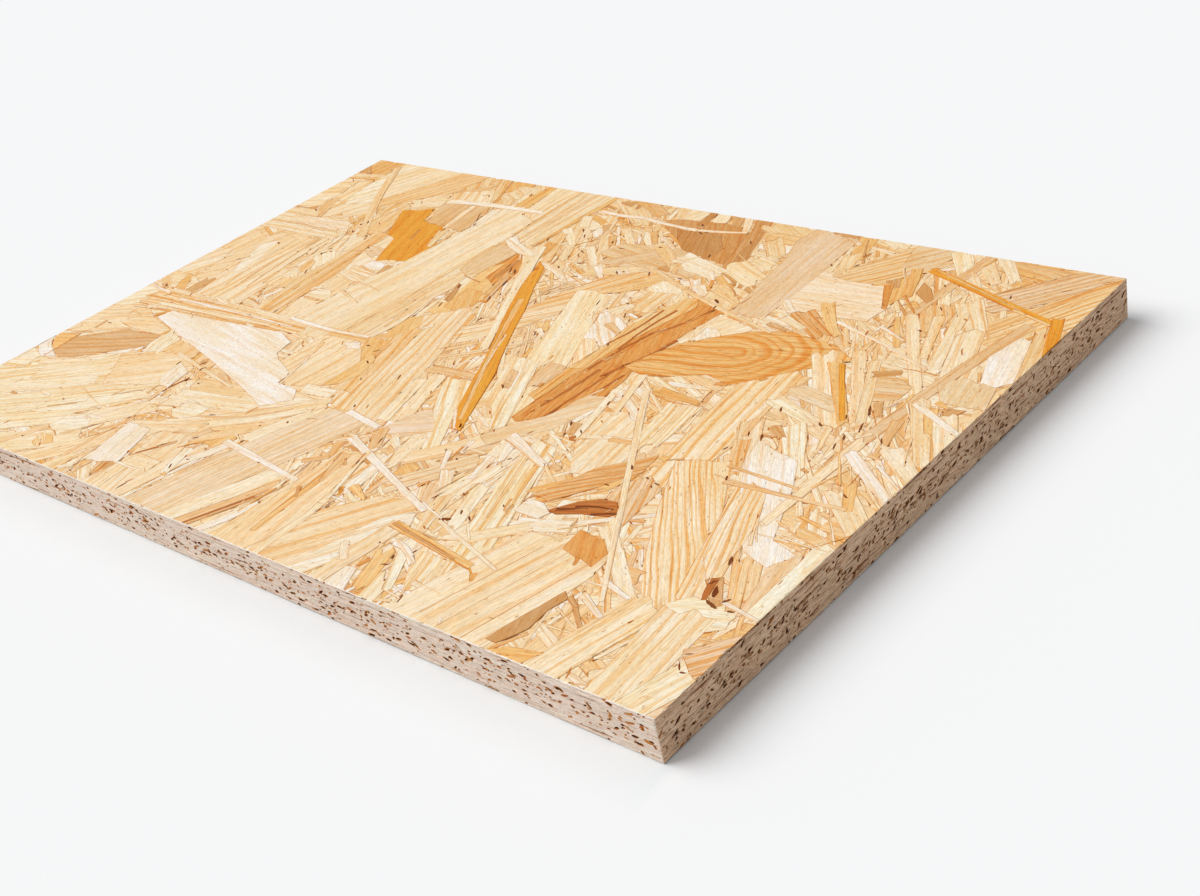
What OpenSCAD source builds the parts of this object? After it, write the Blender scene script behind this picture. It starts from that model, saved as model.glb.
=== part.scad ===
// A cut piece of oriented strand board (OSB): one flat rectangular panel of pressed
// wood strands, sawn square on all four sides and lying on its underside.
// X runs along the long side, Y along the short side, Z up.
// The origin is at the middle of the underside.

/* [Panel] */
// Length of the long side
panel_length = 450; // [150:10:2500]
// Length of the short side
panel_width = 300; // [100:10:1250]
// Thickness of the board
panel_thickness = 18; // [6:1:40]

/* [Sawn edges] */
// Width of the sharp edge that handling has taken off, along every arris
arris = 0.4; // [0.1:0.1:1]

/* [Hidden] */

// The strand colour of an unfinished panel
strand_colour = [0.87, 0.74, 0.53];

// A rectangle around the origin, a by b, with its four corners taken off by the arris
module eased_rectangle(a, b) {
    x = a / 2;
    y = b / 2;
    polygon([
        [arris - x, -y], [x - arris, -y],
        [x, arris - y], [x, y - arris],
        [x - arris, y], [arris - x, y],
        [-x, y - arris], [-x, arris - y],
    ]);
}

// The outline of the panel seen from above
module plan_prism() {
    translate([0, 0, panel_thickness / 2])
        linear_extrude(panel_thickness, center = true)
            eased_rectangle(panel_length, panel_width);
}

// The section across the panel, run along the whole of its long side
module length_prism() {
    translate([0, 0, panel_thickness / 2])
        rotate([90, 0, 90])
            linear_extrude(panel_length, center = true)
                eased_rectangle(panel_width, panel_thickness);
}

// The section along the panel, run across the whole of its short side
module width_prism() {
    translate([0, 0, panel_thickness / 2])
        rotate([90, 0, 0])
            linear_extrude(panel_width, center = true)
                eased_rectangle(panel_length, panel_thickness);
}

// The whole panel: a slab with every arris eased
module board() {
    color(strand_colour)
        intersection() {
            plan_prism();
            length_prism();
            width_prism();
        }
}

board();
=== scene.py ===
import math

import bpy
import numpy as np
from mathutils import Matrix, Vector
from mathutils.geometry import delaunay_2d_cdt


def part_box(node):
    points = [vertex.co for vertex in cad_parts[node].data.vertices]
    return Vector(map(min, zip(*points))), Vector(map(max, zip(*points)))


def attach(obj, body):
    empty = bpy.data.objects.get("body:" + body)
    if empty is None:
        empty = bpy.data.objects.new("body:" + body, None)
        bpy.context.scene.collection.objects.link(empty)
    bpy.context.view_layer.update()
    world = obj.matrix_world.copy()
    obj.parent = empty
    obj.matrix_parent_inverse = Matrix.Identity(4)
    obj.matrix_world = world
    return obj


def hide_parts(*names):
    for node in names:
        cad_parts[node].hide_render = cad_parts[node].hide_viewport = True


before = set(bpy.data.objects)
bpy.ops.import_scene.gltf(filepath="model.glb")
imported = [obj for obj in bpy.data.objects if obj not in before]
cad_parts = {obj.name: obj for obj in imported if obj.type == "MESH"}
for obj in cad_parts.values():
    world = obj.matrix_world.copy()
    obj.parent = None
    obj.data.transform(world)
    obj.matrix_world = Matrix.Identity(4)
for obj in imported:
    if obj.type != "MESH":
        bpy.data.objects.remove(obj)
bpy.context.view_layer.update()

# Oriented strand board, one offcut lying flat. Lengths here are millimetres in the part's own
# frame until a mesh is written. Every face is a skin of pressed strands over a thin closed slab.

MM = 0.001
low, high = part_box("board")
LENGTH = (high.x - low.x) / MM
WIDTH = (high.y - low.y) / MM
THICK = (high.z - low.z) / MM

SLAB = 3.0            # depth of the slab that carries each skin
ARRIS = 0.28          # how far a sawn arris is broken
EASE = 0.32           # width over which the relief runs out at an arris
RIM = 0.38            # width of the pressed edge of a strand
BED = -0.70           # level of the glue bed that shows between strands
FACE_CELL = 0.5       # size of the cells that say which strand shows in a face
EDGE_CELL = 0.25      # and in a sawn edge
FACE_PRESSED = 0.42   # how much lower the lowest strand of a face is pressed than the top one
EDGE_PRESSED = 0.16   # and of a sawn edge
BANDS = 6             # pieces that each face is made in
FACE_FOLDS = 3        # rows that a piece of a face takes up in its map

# seeds of the random numbers
STRAND_SEED = 11
ARRIS_SEED = 41
TOP_SEED = 7
UNDERSIDE_SEED = 23
FIBRE_SEEDS = {"top": 4, "underside": 9}


# ---------------------------------------------------------------- colours
def linear(rgb):
    """Screen colour, 0 to 255, as the linear value that a material takes."""
    c = np.asarray(rgb, float) / 255.0
    return np.where(c <= 0.04045, c / 12.92, ((c + 0.055) / 1.055) ** 2.4)


WOOD = {
    "white": (251, 232, 211),
    "cream": (248, 224, 190),
    "straw": (246, 217, 177),
    "flax": (243, 206, 157),
    "honey": (239, 190, 124),
    "amber": (236, 166, 62),
    "rose": (236, 198, 154),
    "clay": (236, 201, 163),
    "dun": (239, 209, 171),
    "tan": (237, 193, 140),
    "chestnut": (231, 180, 123),
    "chip": (228, 162, 90),
    "umber": (219, 167, 111),
    "walnut": (206, 149, 91),
    "bark": (190, 112, 52),
    # the next two tones are gaps between strands: darker wood and glue, with painted shade of the hollow
    "shade": (196, 120, 58),
    "gap_dark_and_painted_shade": (128, 68, 28),
    "sawn": (251, 229, 211),
    # painted shade: the next tone is the sawn wood made browner and darker, for the edge that lies in shade
    "sawn_painted_shade": (236, 199, 165),
    "rust": (200, 128, 60),
    # the next tone is rusty wood darkened with painted shade, for the pit rims of the edge in shade
    "rust_and_painted_shade": (172, 122, 80),
    # the next tone is for holes in a sawn edge: dark wood, with painted shade of the hollow
    "pit": (84, 44, 18),
}
WOOD_INNER = linear((214, 176, 128))     # inside the board, which nothing shows
# the next colour is bruised pale wood and a painted highlight where the arris catches the light
ARRIS_PALE_AND_PAINTED_HIGHLIGHT = linear((254, 246, 236))     # bruised pale wood along the upper arris of an edge


# ---------------------------------------------------------------- outlines
def unit(angle):
    """Unit vector at an angle in degrees."""
    a = math.radians(angle)
    return np.array([math.cos(a), math.sin(a)])


def left_of(v):
    return np.array([-v[1], v[0]])


def following(rows):
    """Each row's next one, going round."""
    return np.concatenate([rows[1:], rows[:1]])


def torn_strip(draw, a, b, w0, w1, bow, tear):
    """Outline of a strand along a gently bowed line, with sides that follow the grain and torn ends."""
    a = np.array(a, float)
    b = np.array(b, float)
    reach = b - a
    length = math.hypot(*reach)
    grain = reach / length
    side = left_of(grain)
    wide = max(w0, w1)
    count = max(3, int(length / 11))
    t = np.linspace(0, 1, count + 1)
    t[1:-1] += draw.uniform(-0.3, 0.3, count - 1) / count
    middle = a + np.outer(t, reach) + np.outer(4 * bow * t * (1 - t), side)
    half = (w0 + (w1 - w0) * t) / 2
    wander = min(0.05 * wide, 0.5)
    sides = []
    for sign in (1, -1):
        offset = half + draw.uniform(-wander, wander, count + 1)
        if wide > 7 and count > 4 and draw.random() < 0.6:
            step = draw.integers(1, count - 1)
            lost = draw.uniform(0.06, 0.16) * wide
            if draw.random() < 0.5:
                offset[step:] -= lost
            else:
                offset[:step] -= lost
        sides.append(middle + sign * offset[:, None] * side)
    teeth = max(1, int(wide / 2.6))
    points = list(sides[1])
    for end, sign in ((1, 1), (0, -1)):
        first = sides[1][-1] if end else sides[0][0]
        last = sides[0][-1] if end else sides[1][0]
        depth = min(0.4 * wide, 3.2) * tear
        for k in range(1, teeth + 1):
            f = (k + draw.uniform(-0.3, 0.3)) / (teeth + 1)
            points.append(first + f * (last - first) + sign * grain * depth * draw.uniform(-0.9, 1.0))
        if end:
            points.extend(sides[0][::-1])
    return np.array(points)


def centred_strip(draw, middle, angle, length, w0, w1, bow, tear):
    """Outline of a torn strand, from its middle, its direction and its length."""
    reach = unit(angle) * length / 2
    return torn_strip(draw, middle - reach, middle + reach, w0, w1, bow, tear)


def cut_outline(draw, corners, grain, rough=1.0):
    """Outline from corner points: straight along the grain, toothed where it crosses the grain."""
    corners = np.array(corners, float)
    g = unit(grain)
    points = []
    for p, q in zip(corners, following(corners)):
        reach = q - p
        length = math.hypot(*reach)
        across = abs(reach[0] * g[1] - reach[1] * g[0]) / length
        step = 9.0 - 6.4 * across
        count = max(1, int(length / step))
        points.append(p)
        for k in range(1, count):
            f = (k + draw.uniform(-0.25, 0.25)) / count
            shift = g * draw.uniform(-1, 1) * 0.9 * across
            shift = shift + left_of(g) * draw.uniform(-1, 1) * 0.22 * (1 - across)
            points.append(p + f * reach + shift * rough)
    return np.array(points)


def leaf(draw, centre, angle, length, width, corners=8):
    """A small closed blob, longer than it is wide, as gaps, pits and chips are."""
    turn = np.sort(np.linspace(0, 2 * math.pi, corners, endpoint=False) + draw.uniform(-0.3, 0.3, corners))
    size = draw.uniform(0.65, 1.1, corners)
    along = np.cos(turn) * length / 2 * size
    beside = np.sin(turn) * width / 2 * size
    g = unit(angle)
    return np.array(centre, float) + np.outer(along, g) + np.outer(beside, left_of(g))


def turning(outline):
    """The outline, running anticlockwise."""
    x, y = outline.T
    area = np.sum(x * following(y) - following(x) * y)
    return outline if area > 0 else outline[::-1].copy()


def contains(points, outline):
    """Which points lie inside an outline."""
    x = points[:, 0][:, None]
    y = points[:, 1][:, None]
    ax, ay = outline.T
    bx = following(ax)
    by = following(ay)
    rise = np.where(by == ay, 1.0, by - ay)
    crosses = ((ay > y) != (by > y)) & (x < ax + (y - ay) * (bx - ax) / rise)
    return (crosses.sum(1) % 2) == 1


def depth_inside(points, outline):
    """Distance from each point to the outline, or 0 outside it."""
    inside = contains(points, outline)
    found = np.zeros(len(points))
    if not inside.any():
        return found
    p = points[inside]
    a = outline
    ab = following(outline) - a
    size = np.maximum((ab ** 2).sum(1), 1e-9)
    px = p[:, 0][:, None] - a[:, 0]
    py = p[:, 1][:, None] - a[:, 1]
    t = np.clip((px * ab[:, 0] + py * ab[:, 1]) / size, 0, 1)
    found[inside] = np.sqrt(((px - t * ab[:, 0]) ** 2 + (py - t * ab[:, 1]) ** 2).min(1))
    return found


def inset_line(outline, rim):
    """Points a rim's width inside an outline, in order, and which neighbours may be joined."""
    after = following(outline) - outline
    after = after / np.maximum(np.hypot(*after.T), 1e-6)[:, None]
    before = np.concatenate([after[-1:], after[:-1]])
    inward = np.stack([-(before[:, 1] + after[:, 1]), before[:, 0] + after[:, 0]], 1)
    size = np.maximum(np.hypot(*inward.T), 0.7)
    moved = outline + inward / (size ** 2)[:, None] * 2 * rim
    good = depth_inside(moved, outline) > 0.72 * rim
    half_way = (moved + following(moved)) / 2
    joined = good & following(good) & (depth_inside(half_way, outline) > 0.6 * rim)
    return moved, joined


# ---------------------------------------------------------------- strands
class Flake:
    """A strand as it shows in one face: outline, level, slope, and the wood that it was cut from."""

    def __init__(self, outline, grain, tone, ring=5.0, strength=0.5, cut=None, rim=RIM, level=0.0):
        self.outline = turning(np.asarray(outline, float))
        self.low = self.outline.min(0)
        self.high = self.outline.max(0)
        self.centre = (self.low + self.high) / 2
        self.grain = grain
        self.tone = tone
        self.ring = ring
        self.strength = strength
        self.cut = cut
        self.rim = rim
        self.level = level
        self.tilt = np.zeros(2)
        self.plain = False

    def height(self, points):
        return self.level + (points - self.centre) @ self.tilt

    def wood(self, points):
        """Across, deep and along in the log, for points of the face."""
        g = unit(self.grain)
        away = points - self.centre
        along = away @ g
        across = away @ left_of(g)
        off, deep, slope, start = self.cut
        return np.stack([off + across, deep + slope * along, start + along], 1)


class Sheet:
    """Which flake shows at each small cell of a face. Flakes are laid from the top one down."""

    def __init__(self, half_u, half_v, cell):
        self.cell = cell
        self.left = -half_u
        self.bottom = -half_v
        self.cols = int(round(2 * half_u / cell))
        self.rows = int(round(2 * half_v / cell))
        self.shown = np.full((self.rows, self.cols), -1, np.int32)

    def mask(self, outline):
        """First row, first column and the filled cells of an outline."""
        low = outline.min(0)
        high = outline.max(0)
        r0 = max(0, int((low[1] - self.bottom) / self.cell))
        r1 = min(self.rows, int((high[1] - self.bottom) / self.cell) + 2)
        c0 = max(0, int((low[0] - self.left) / self.cell))
        c1 = min(self.cols, int((high[0] - self.left) / self.cell) + 2)
        if r1 <= r0 or c1 <= c0:
            return 0, 0, np.zeros((0, 0), bool)
        flips = np.zeros((r1 - r0, c1 - c0 + 1), np.uint8)
        ys = self.bottom + (np.arange(r0, r1) + 0.5) * self.cell
        for p, q in zip(outline, following(outline)):
            if p[1] == q[1]:
                continue
            first, last = np.searchsorted(ys, (min(p[1], q[1]), max(p[1], q[1])))
            if last <= first:
                continue
            x = p[0] + (ys[first:last] - p[1]) * (q[0] - p[0]) / (q[1] - p[1])
            c = np.ceil((x - self.left) / self.cell - 0.5).astype(int) - c0
            flips[np.arange(first, last), np.clip(c, 0, c1 - c0)] ^= 1
        return r0, c0, np.bitwise_xor.accumulate(flips, axis=1)[:, :-1].astype(bool)

    def lay(self, outline, number, least=1):
        """Lay a flake under what is there, if enough of it would show. Returns how many cells do."""
        r, c, mask = self.mask(outline)
        part = self.shown[r:r + mask.shape[0], c:c + mask.shape[1]]
        new = mask & (part < 0)
        count = int(new.sum())
        if count < least:
            return 0
        part[new] = number
        return count

    def open_cells(self):
        return np.argwhere(self.shown < 0)

    def place(self, cells):
        """Middle of cells, given as rows and columns."""
        return np.stack([self.left + (cells[:, 1] + 0.5) * self.cell,
                         self.bottom + (cells[:, 0] + 0.5) * self.cell], 1)

    def cell_of(self, points):
        """Row and column of each point."""
        c = np.floor((points[:, 0] - self.left) / self.cell).astype(int)
        r = np.floor((points[:, 1] - self.bottom) / self.cell).astype(int)
        return r, c


# ---------------------------------------------------------------- laying the faces
def shape(tone, grain, ring, strength, *numbers, rough=1.0, cone=None):
    """A broad flake, from the corners of its outline."""
    corners = np.reshape(np.array(numbers, float), (-1, 2))
    return dict(tone=tone, grain=grain, ring=ring, strength=strength, corners=corners, rough=rough,
                cone=cone)


def strip(tone, x0, y0, x1, y1, w0, w1=None, bow=0.0, ring=4.0, strength=0.4, tear=1.0):
    """A strand or stick, from the ends of its middle line and its widths."""
    return dict(tone=tone, line=((x0, y0), (x1, y1)), widths=(w0, w0 if w1 is None else w1), bow=bow,
                ring=ring, strength=strength, tear=tear)


def own_draw(item):
    """A strand's own random numbers, the same whatever lies beside it in the list."""
    spot = item["line"][0] if "line" in item else item["corners"][0]
    return np.random.default_rng([STRAND_SEED, int(1000 + 3 * spot[0]), int(1000 + 3 * spot[1])])


def log_place(draw, cone=None):
    """Where in the log a flake was cut: off the pith, depth, slope and start along the stem."""
    start = draw.uniform(0, 900)
    if cone:
        return cone[0], cone[1], cone[2], start
    return draw.uniform(35, 95), draw.uniform(-12, 12), draw.uniform(-0.03, 0.03), start


def shaded(draw, tone, spread=0.03):
    """A tone with a strand's own small difference in depth: darker wood is warmer too."""
    deeper = draw.normal(0, spread)
    rgb = np.array(WOOD[tone]) * (1 - deeper * np.array([0.25, 0.8, 1.7]))
    rgb = rgb * (1 + draw.normal(0, spread * 0.15))
    return linear(np.clip(rgb, 0, 255))


def strip_rim(width):
    """Width of the pressed edge of a strand: less on a thin one."""
    return min(RIM, 0.28 * width + 0.08)


def make_flake(draw, item):
    """The flake that a line of the list describes."""
    if "line" in item:
        a, b = item["line"]
        outline = torn_strip(draw, a, b, item["widths"][0], item["widths"][1], item["bow"], item["tear"])
        grain = math.degrees(math.atan2(b[1] - a[1], b[0] - a[0]))
        cone = None
        rim = strip_rim(item["widths"][0])
    else:
        outline = cut_outline(draw, item["corners"], item["grain"], item["rough"])
        grain = item["grain"]
        cone = item["cone"]
        rim = RIM
    return Flake(outline, grain, shaded(draw, item["tone"]), item["ring"], item["strength"],
                 log_place(draw, cone), rim)


FILL_TONES = ("cream", "straw", "flax", "white", "rose", "tan", "honey", "umber")
FILL_SHARES = (0.30, 0.31, 0.17, 0.06, 0.06, 0.04, 0.04, 0.02)
SHRED_TONES = ("white", "cream", "straw", "flax", "honey", "tan", "umber")
SHRED_SHARES = (0.10, 0.25, 0.27, 0.17, 0.09, 0.07, 0.05)
DARK_BLUE = 0.22      # wood with less blue than this is dark, and its shreds are too

# least and most width, then least and most length
KINDS = {
    "sliver": (0.8, 3.2, 9, 45),
    "small": (3, 9, 14, 55),
    "medium": (8, 18, 45, 95),
    "big": (18, 36, 80, 140),
}


def chosen(draw, names, shares):
    return names[int(draw.choice(len(names), p=np.array(shares) / sum(shares)))]


def random_flake(draw, spot, angle, kind):
    """A strand of the common run that covers a spot."""
    thinnest, widest, shortest, longest = KINDS[kind]
    width = draw.uniform(thinnest, widest)
    length = draw.uniform(shortest, longest)
    g = unit(angle)
    shift = g * draw.uniform(-0.46, 0.46) * length + left_of(g) * draw.uniform(-0.46, 0.46) * width
    taper = draw.uniform(0.55, 1.0)
    w0, w1 = (width, width * taper) if draw.random() < 0.5 else (width * taper, width)
    bow = draw.normal(0, 0.012) * length
    outline = centred_strip(draw, np.array(spot) + shift, angle, length, w0, w1, bow, 1.0)
    tone = chosen(draw, FILL_TONES, FILL_SHARES)
    strength = draw.uniform(0.15, 0.9)
    return Flake(outline, angle, shaded(draw, tone), draw.uniform(2.2, 8.0), strength, log_place(draw),
                 strip_rim(width))


def fill_sheet(draw, sheet, flakes, angles, stages):
    """Lay strands under what is there until only small gaps are left open."""
    for kind, tries, least in stages:
        for turn in range(tries):
            if turn % 20 == 0:
                cells = sheet.open_cells()
                if len(cells) < 60:
                    return
            row, col = cells[draw.integers(len(cells))]
            if sheet.shown[row, col] >= 0:
                continue
            spot = sheet.place(np.array([[row, col]]))[0]
            flake = random_flake(draw, spot, angles(draw, spot), kind)
            if sheet.lay(flake.outline, len(flakes), least):
                flakes.append(flake)


def seam_spots(draw, sheet, flakes, count):
    """Places along the seams, found where two flakes meet, and the run of the upper one's side there."""
    shown = sheet.shown
    edges = np.argwhere((shown[:-1, :-1] != shown[1:, :-1]) | (shown[:-1, :-1] != shown[:-1, 1:]))
    found = []
    for row, col in edges[draw.integers(len(edges), size=count)]:
        number = min(n for n in (shown[row, col], shown[row + 1, col], shown[row, col + 1]) if n >= 0)
        outline = flakes[number].outline
        spot = sheet.place(np.array([[row, col]]))[0]
        middle = (outline + following(outline)) / 2
        reach = following(outline) - outline
        near = np.argmin(np.hypot(*(middle - spot).T) - 0.4 * np.hypot(*reach.T))
        found.append((spot, math.degrees(math.atan2(reach[near][1], reach[near][0])), flakes[number]))
    return found


def seam_gaps(draw, sheet, flakes, count, size):
    """Short dark gaps along the seams."""
    gaps = []
    for spot, angle, _ in seam_spots(draw, sheet, flakes, count):
        length = size[0] + (size[1] - size[0]) * draw.random() ** 2
        width = min(1.0, length * draw.uniform(0.2, 0.5))
        tone = "gap_dark_and_painted_shade" if draw.random() < 0.3 else "shade"
        gaps.append(gap_flake(draw, spot, angle + draw.normal(0, 10), length, width, tone, -0.35))
    return gaps


def seam_shreds(draw, sheet, flakes, count):
    """Half torn slivers and small chips that lie along the seams."""
    shreds = []
    for spot, angle, owner in seam_spots(draw, sheet, flakes, count):
        tone = chosen(draw, SHRED_TONES, SHRED_SHARES)
        if owner.tone[2] < DARK_BLUE:
            tone = "chip" if tone in ("white", "cream") else "umber"
        if draw.random() < 0.6:
            length = draw.uniform(5, 24)
            width = draw.uniform(0.5, 1.7)
            angle = angle + draw.normal(0, 5)
        else:
            length = draw.uniform(2.5, 8)
            width = draw.uniform(1.2, 3.4)
            angle = angle + draw.normal(0, 30)
        g = unit(angle)
        middle = spot + g * draw.uniform(-0.4, 0.4) * length + left_of(g) * draw.uniform(-0.5, 0.5) * width
        bow = draw.normal(0, 0.03) * length
        outline = centred_strip(draw, middle, angle, length, width, width * 0.5, bow, 1.0)
        shreds.append(Flake(outline, angle, shaded(draw, tone), draw.uniform(2, 6), draw.uniform(0, 0.8),
                            log_place(draw), min(0.3, 0.2 * width + 0.05)))
    return shreds


def put_in(sheet, flakes, more, at=0):
    """Put more pieces into the stack, under the first few of it, and show them on the sheet."""
    shown = sheet.shown
    shown[shown >= at] += len(more)
    for number, flake in enumerate(more, at):
        r, c, mask = sheet.mask(flake.outline)
        part = shown[r:r + mask.shape[0], c:c + mask.shape[1]]
        part[mask & ((part > number) | (part < 0))] = number
    return flakes[:at] + more + flakes[at:]


def gap_flake(draw, spot, angle, length, width, tone, level, corners=8):
    """A gap, a pit or the rim round a pit: a small blob of one tone, without rings."""
    flake = Flake(leaf(draw, spot, angle, length, width, corners), angle, shaded(draw, tone, 0.1),
                  5.0, 0.0, log_place(draw), min(0.3, 0.3 * width), level)
    flake.plain = True
    return flake


def settle(draw, flakes, spread):
    """Press the stack flat: a little lower for each layer, with a slight lean for each strand."""
    count = max(1, len(flakes) - 1)
    for number, flake in enumerate(flakes):
        reach = np.max(flake.high - flake.low)
        flake.level = -spread * (0.04 + 0.8 * (number / count) ** 0.7) - draw.uniform(0, 0.12)
        flake.tilt = draw.normal(0, 0.05, 2) / max(reach, 12)


# ---------------------------------------------------------------- faces and arrises
X = np.array([1.0, 0, 0])
Y = np.array([0, 1.0, 0])
Z = np.array([0, 0, 1.0])
MIDDLE = np.array([0, 0, THICK / 2])


class Face:
    """One side of the board: its middle, its two directions and its outward normal."""

    def __init__(self, u, v, half_u, half_v, half_out):
        self.u = u
        self.v = v
        self.out = np.cross(u, v)
        self.half_u = half_u
        self.half_v = half_v
        self.origin = MIDDLE + self.out * half_out
        self.sides = {}

    def flat(self, points):
        """Points of the board as u, v and height over the face."""
        away = points - self.origin
        return away @ self.u, away @ self.v, away @ self.out

    def solid(self, u, v, height):
        return self.origin + np.outer(u, self.u) + np.outer(v, self.v) + np.outer(height, self.out)

    def clearance(self, u, v):
        """How far inside the nearest arris each point is, and that arris's height there."""
        best = np.full(len(u), 1e9)
        level = np.zeros(len(u))
        for axis, sign, run, border, height in self.sides.values():
            here, other = (u, v) if axis == 0 else (v, u)
            gap = sign * (np.interp(other, run, border) - here)
            closer = gap < best
            best = np.where(closer, gap, best)
            level = np.where(closer, np.interp(other, run, height), level)
        return best, level

    def border(self, inset=0.0):
        """The arris lines of this face as polylines in its plane, moved inwards."""
        lines = []
        for axis, sign, run, border, _ in self.sides.values():
            limit = (self.half_v if axis == 0 else self.half_u) - inset - (ARRIS if inset else 0)
            keep = np.abs(run) <= limit if inset else np.ones(len(run), bool)
            line = [run[keep], border[keep] - sign * inset]
            lines.append(np.stack(line if axis == 1 else line[::-1], 1))
        return lines


HALF_L = LENGTH / 2
HALF_W = WIDTH / 2
HALF_T = THICK / 2
FACES = {
    "top": Face(X, Y, HALF_L, HALF_W, HALF_T),
    "underside": Face(X, -Y, HALF_L, HALF_W, HALF_T),
    "front": Face(X, Z, HALF_L, HALF_T, HALF_W),
    "back": Face(-X, Z, HALF_L, HALF_T, HALF_W),
    "right": Face(Y, Z, HALF_W, HALF_T, HALF_L),
    "left": Face(-Y, Z, HALF_W, HALF_T, HALF_L),
}


def break_arrises():
    """Walk the twelve arrises of the board with small saw chips, and give each face its four sides."""
    draw = np.random.default_rng(ARRIS_SEED)
    names = list(FACES)
    for i, first in enumerate(names):
        for second in names[i + 1:]:
            a = FACES[first]
            b = FACES[second]
            if abs(a.out @ b.out) > 0.5:
                continue
            along = np.abs(np.cross(a.out, b.out))
            half = along @ np.array([HALF_L, HALF_W, HALF_T])
            corner = MIDDLE + a.out * (a.out @ (a.origin - MIDDLE)) + b.out * (b.out @ (b.origin - MIDDLE))
            end = half - ARRIS
            count = int(2 * end / 1.3)
            run = np.linspace(-end, end, count + 1)
            run[1:-1] += draw.uniform(-0.35, 0.35, count - 1)
            back = ARRIS + 0.05 * draw.uniform(-1, 1, count + 1)
            for _ in range(int(half / 9)):
                at = draw.uniform(-half + 4, half - 4)
                wide = draw.uniform(0.8, 2.6)
                deep = draw.uniform(0.1, 0.45)
                back = np.maximum(back, ARRIS + deep * np.clip(1 - np.abs(run - at) / wide, 0, 1))
            back[[0, -1]] = ARRIS
            line = corner + np.outer(run, along) - np.outer(back, a.out + b.out)
            for face, other, name in ((a, b, second), (b, a, first)):
                u, v, height = face.flat(line)
                across = other.out @ face.u
                axis = 0 if abs(across) > 0.5 else 1
                sign = across if axis == 0 else other.out @ face.v
                place, border = (v, u) if axis == 0 else (u, v)
                order = np.argsort(place)
                face.sides[name] = (axis, sign, place[order], border[order], height[order])


# ---------------------------------------------------------------- skins
def seen_runs(line, sheet, window, joined=None):
    """The stretches of a closed line that lie where a flake shows, as pairs of points."""
    p, q = line, following(line)
    if joined is not None:
        p, q = p[joined], q[joined]
    if not len(p):
        return []
    reach = q - p
    count = np.maximum(1, (np.hypot(*reach.T) / sheet.cell).astype(int))
    share = np.minimum(np.arange(count.max() + 1)[None, :] / count[:, None], 1.0)
    at = p[:, None, :] + share[:, :, None] * reach[:, None, :]
    seen = window.look(*sheet.cell_of(at.reshape(-1, 2))).reshape(share.shape)
    whole = seen.all(1)
    runs = list(zip(p[whole], q[whole]))
    for k in np.flatnonzero(seen.any(1) & ~whole):
        flags = seen[k, :count[k] + 1]
        grown = flags.copy()
        grown[1:] |= flags[:-1]
        grown[:-1] |= flags[1:]
        step = np.flatnonzero(np.diff(np.concatenate([[0], grown.astype(int), [0]])))
        for s, e in zip(step[::2], step[1::2] - 1):
            if e > s:
                runs.append((at[k, s], at[k, e]))
    return runs


class Window:
    """The cells round a flake where it shows, spread by a millimetre or so."""

    def __init__(self, sheet, flake, number, pad=3):
        r0, c0 = (int(n[0]) for n in sheet.cell_of(flake.low[None, :]))
        r1, c1 = (int(n[0]) for n in sheet.cell_of(flake.high[None, :]))
        self.row = max(0, r0 - pad)
        self.col = max(0, c0 - pad)
        part = sheet.shown[self.row:max(0, r1 + pad), self.col:max(0, c1 + pad)]
        self.shows = grown_mask(part == number, 2)

    def look(self, rows, cols):
        """Whether the flake shows at each cell."""
        r = rows - self.row
        c = cols - self.col
        on = (r >= 0) & (c >= 0) & (r < self.shows.shape[0]) & (c < self.shows.shape[1])
        seen = np.zeros(len(r), bool)
        seen[on] = self.shows[r[on], c[on]]
        return seen


def grown_mask(mask, cells):
    """The mask, spread by some cells every way."""
    for _ in range(cells):
        wide = mask.copy()
        wide[1:] |= mask[:-1]
        wide[:-1] |= mask[1:]
        wide[:, 1:] |= mask[:, :-1]
        wide[:, :-1] |= mask[:, 1:]
        mask = wide
    return mask


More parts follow.
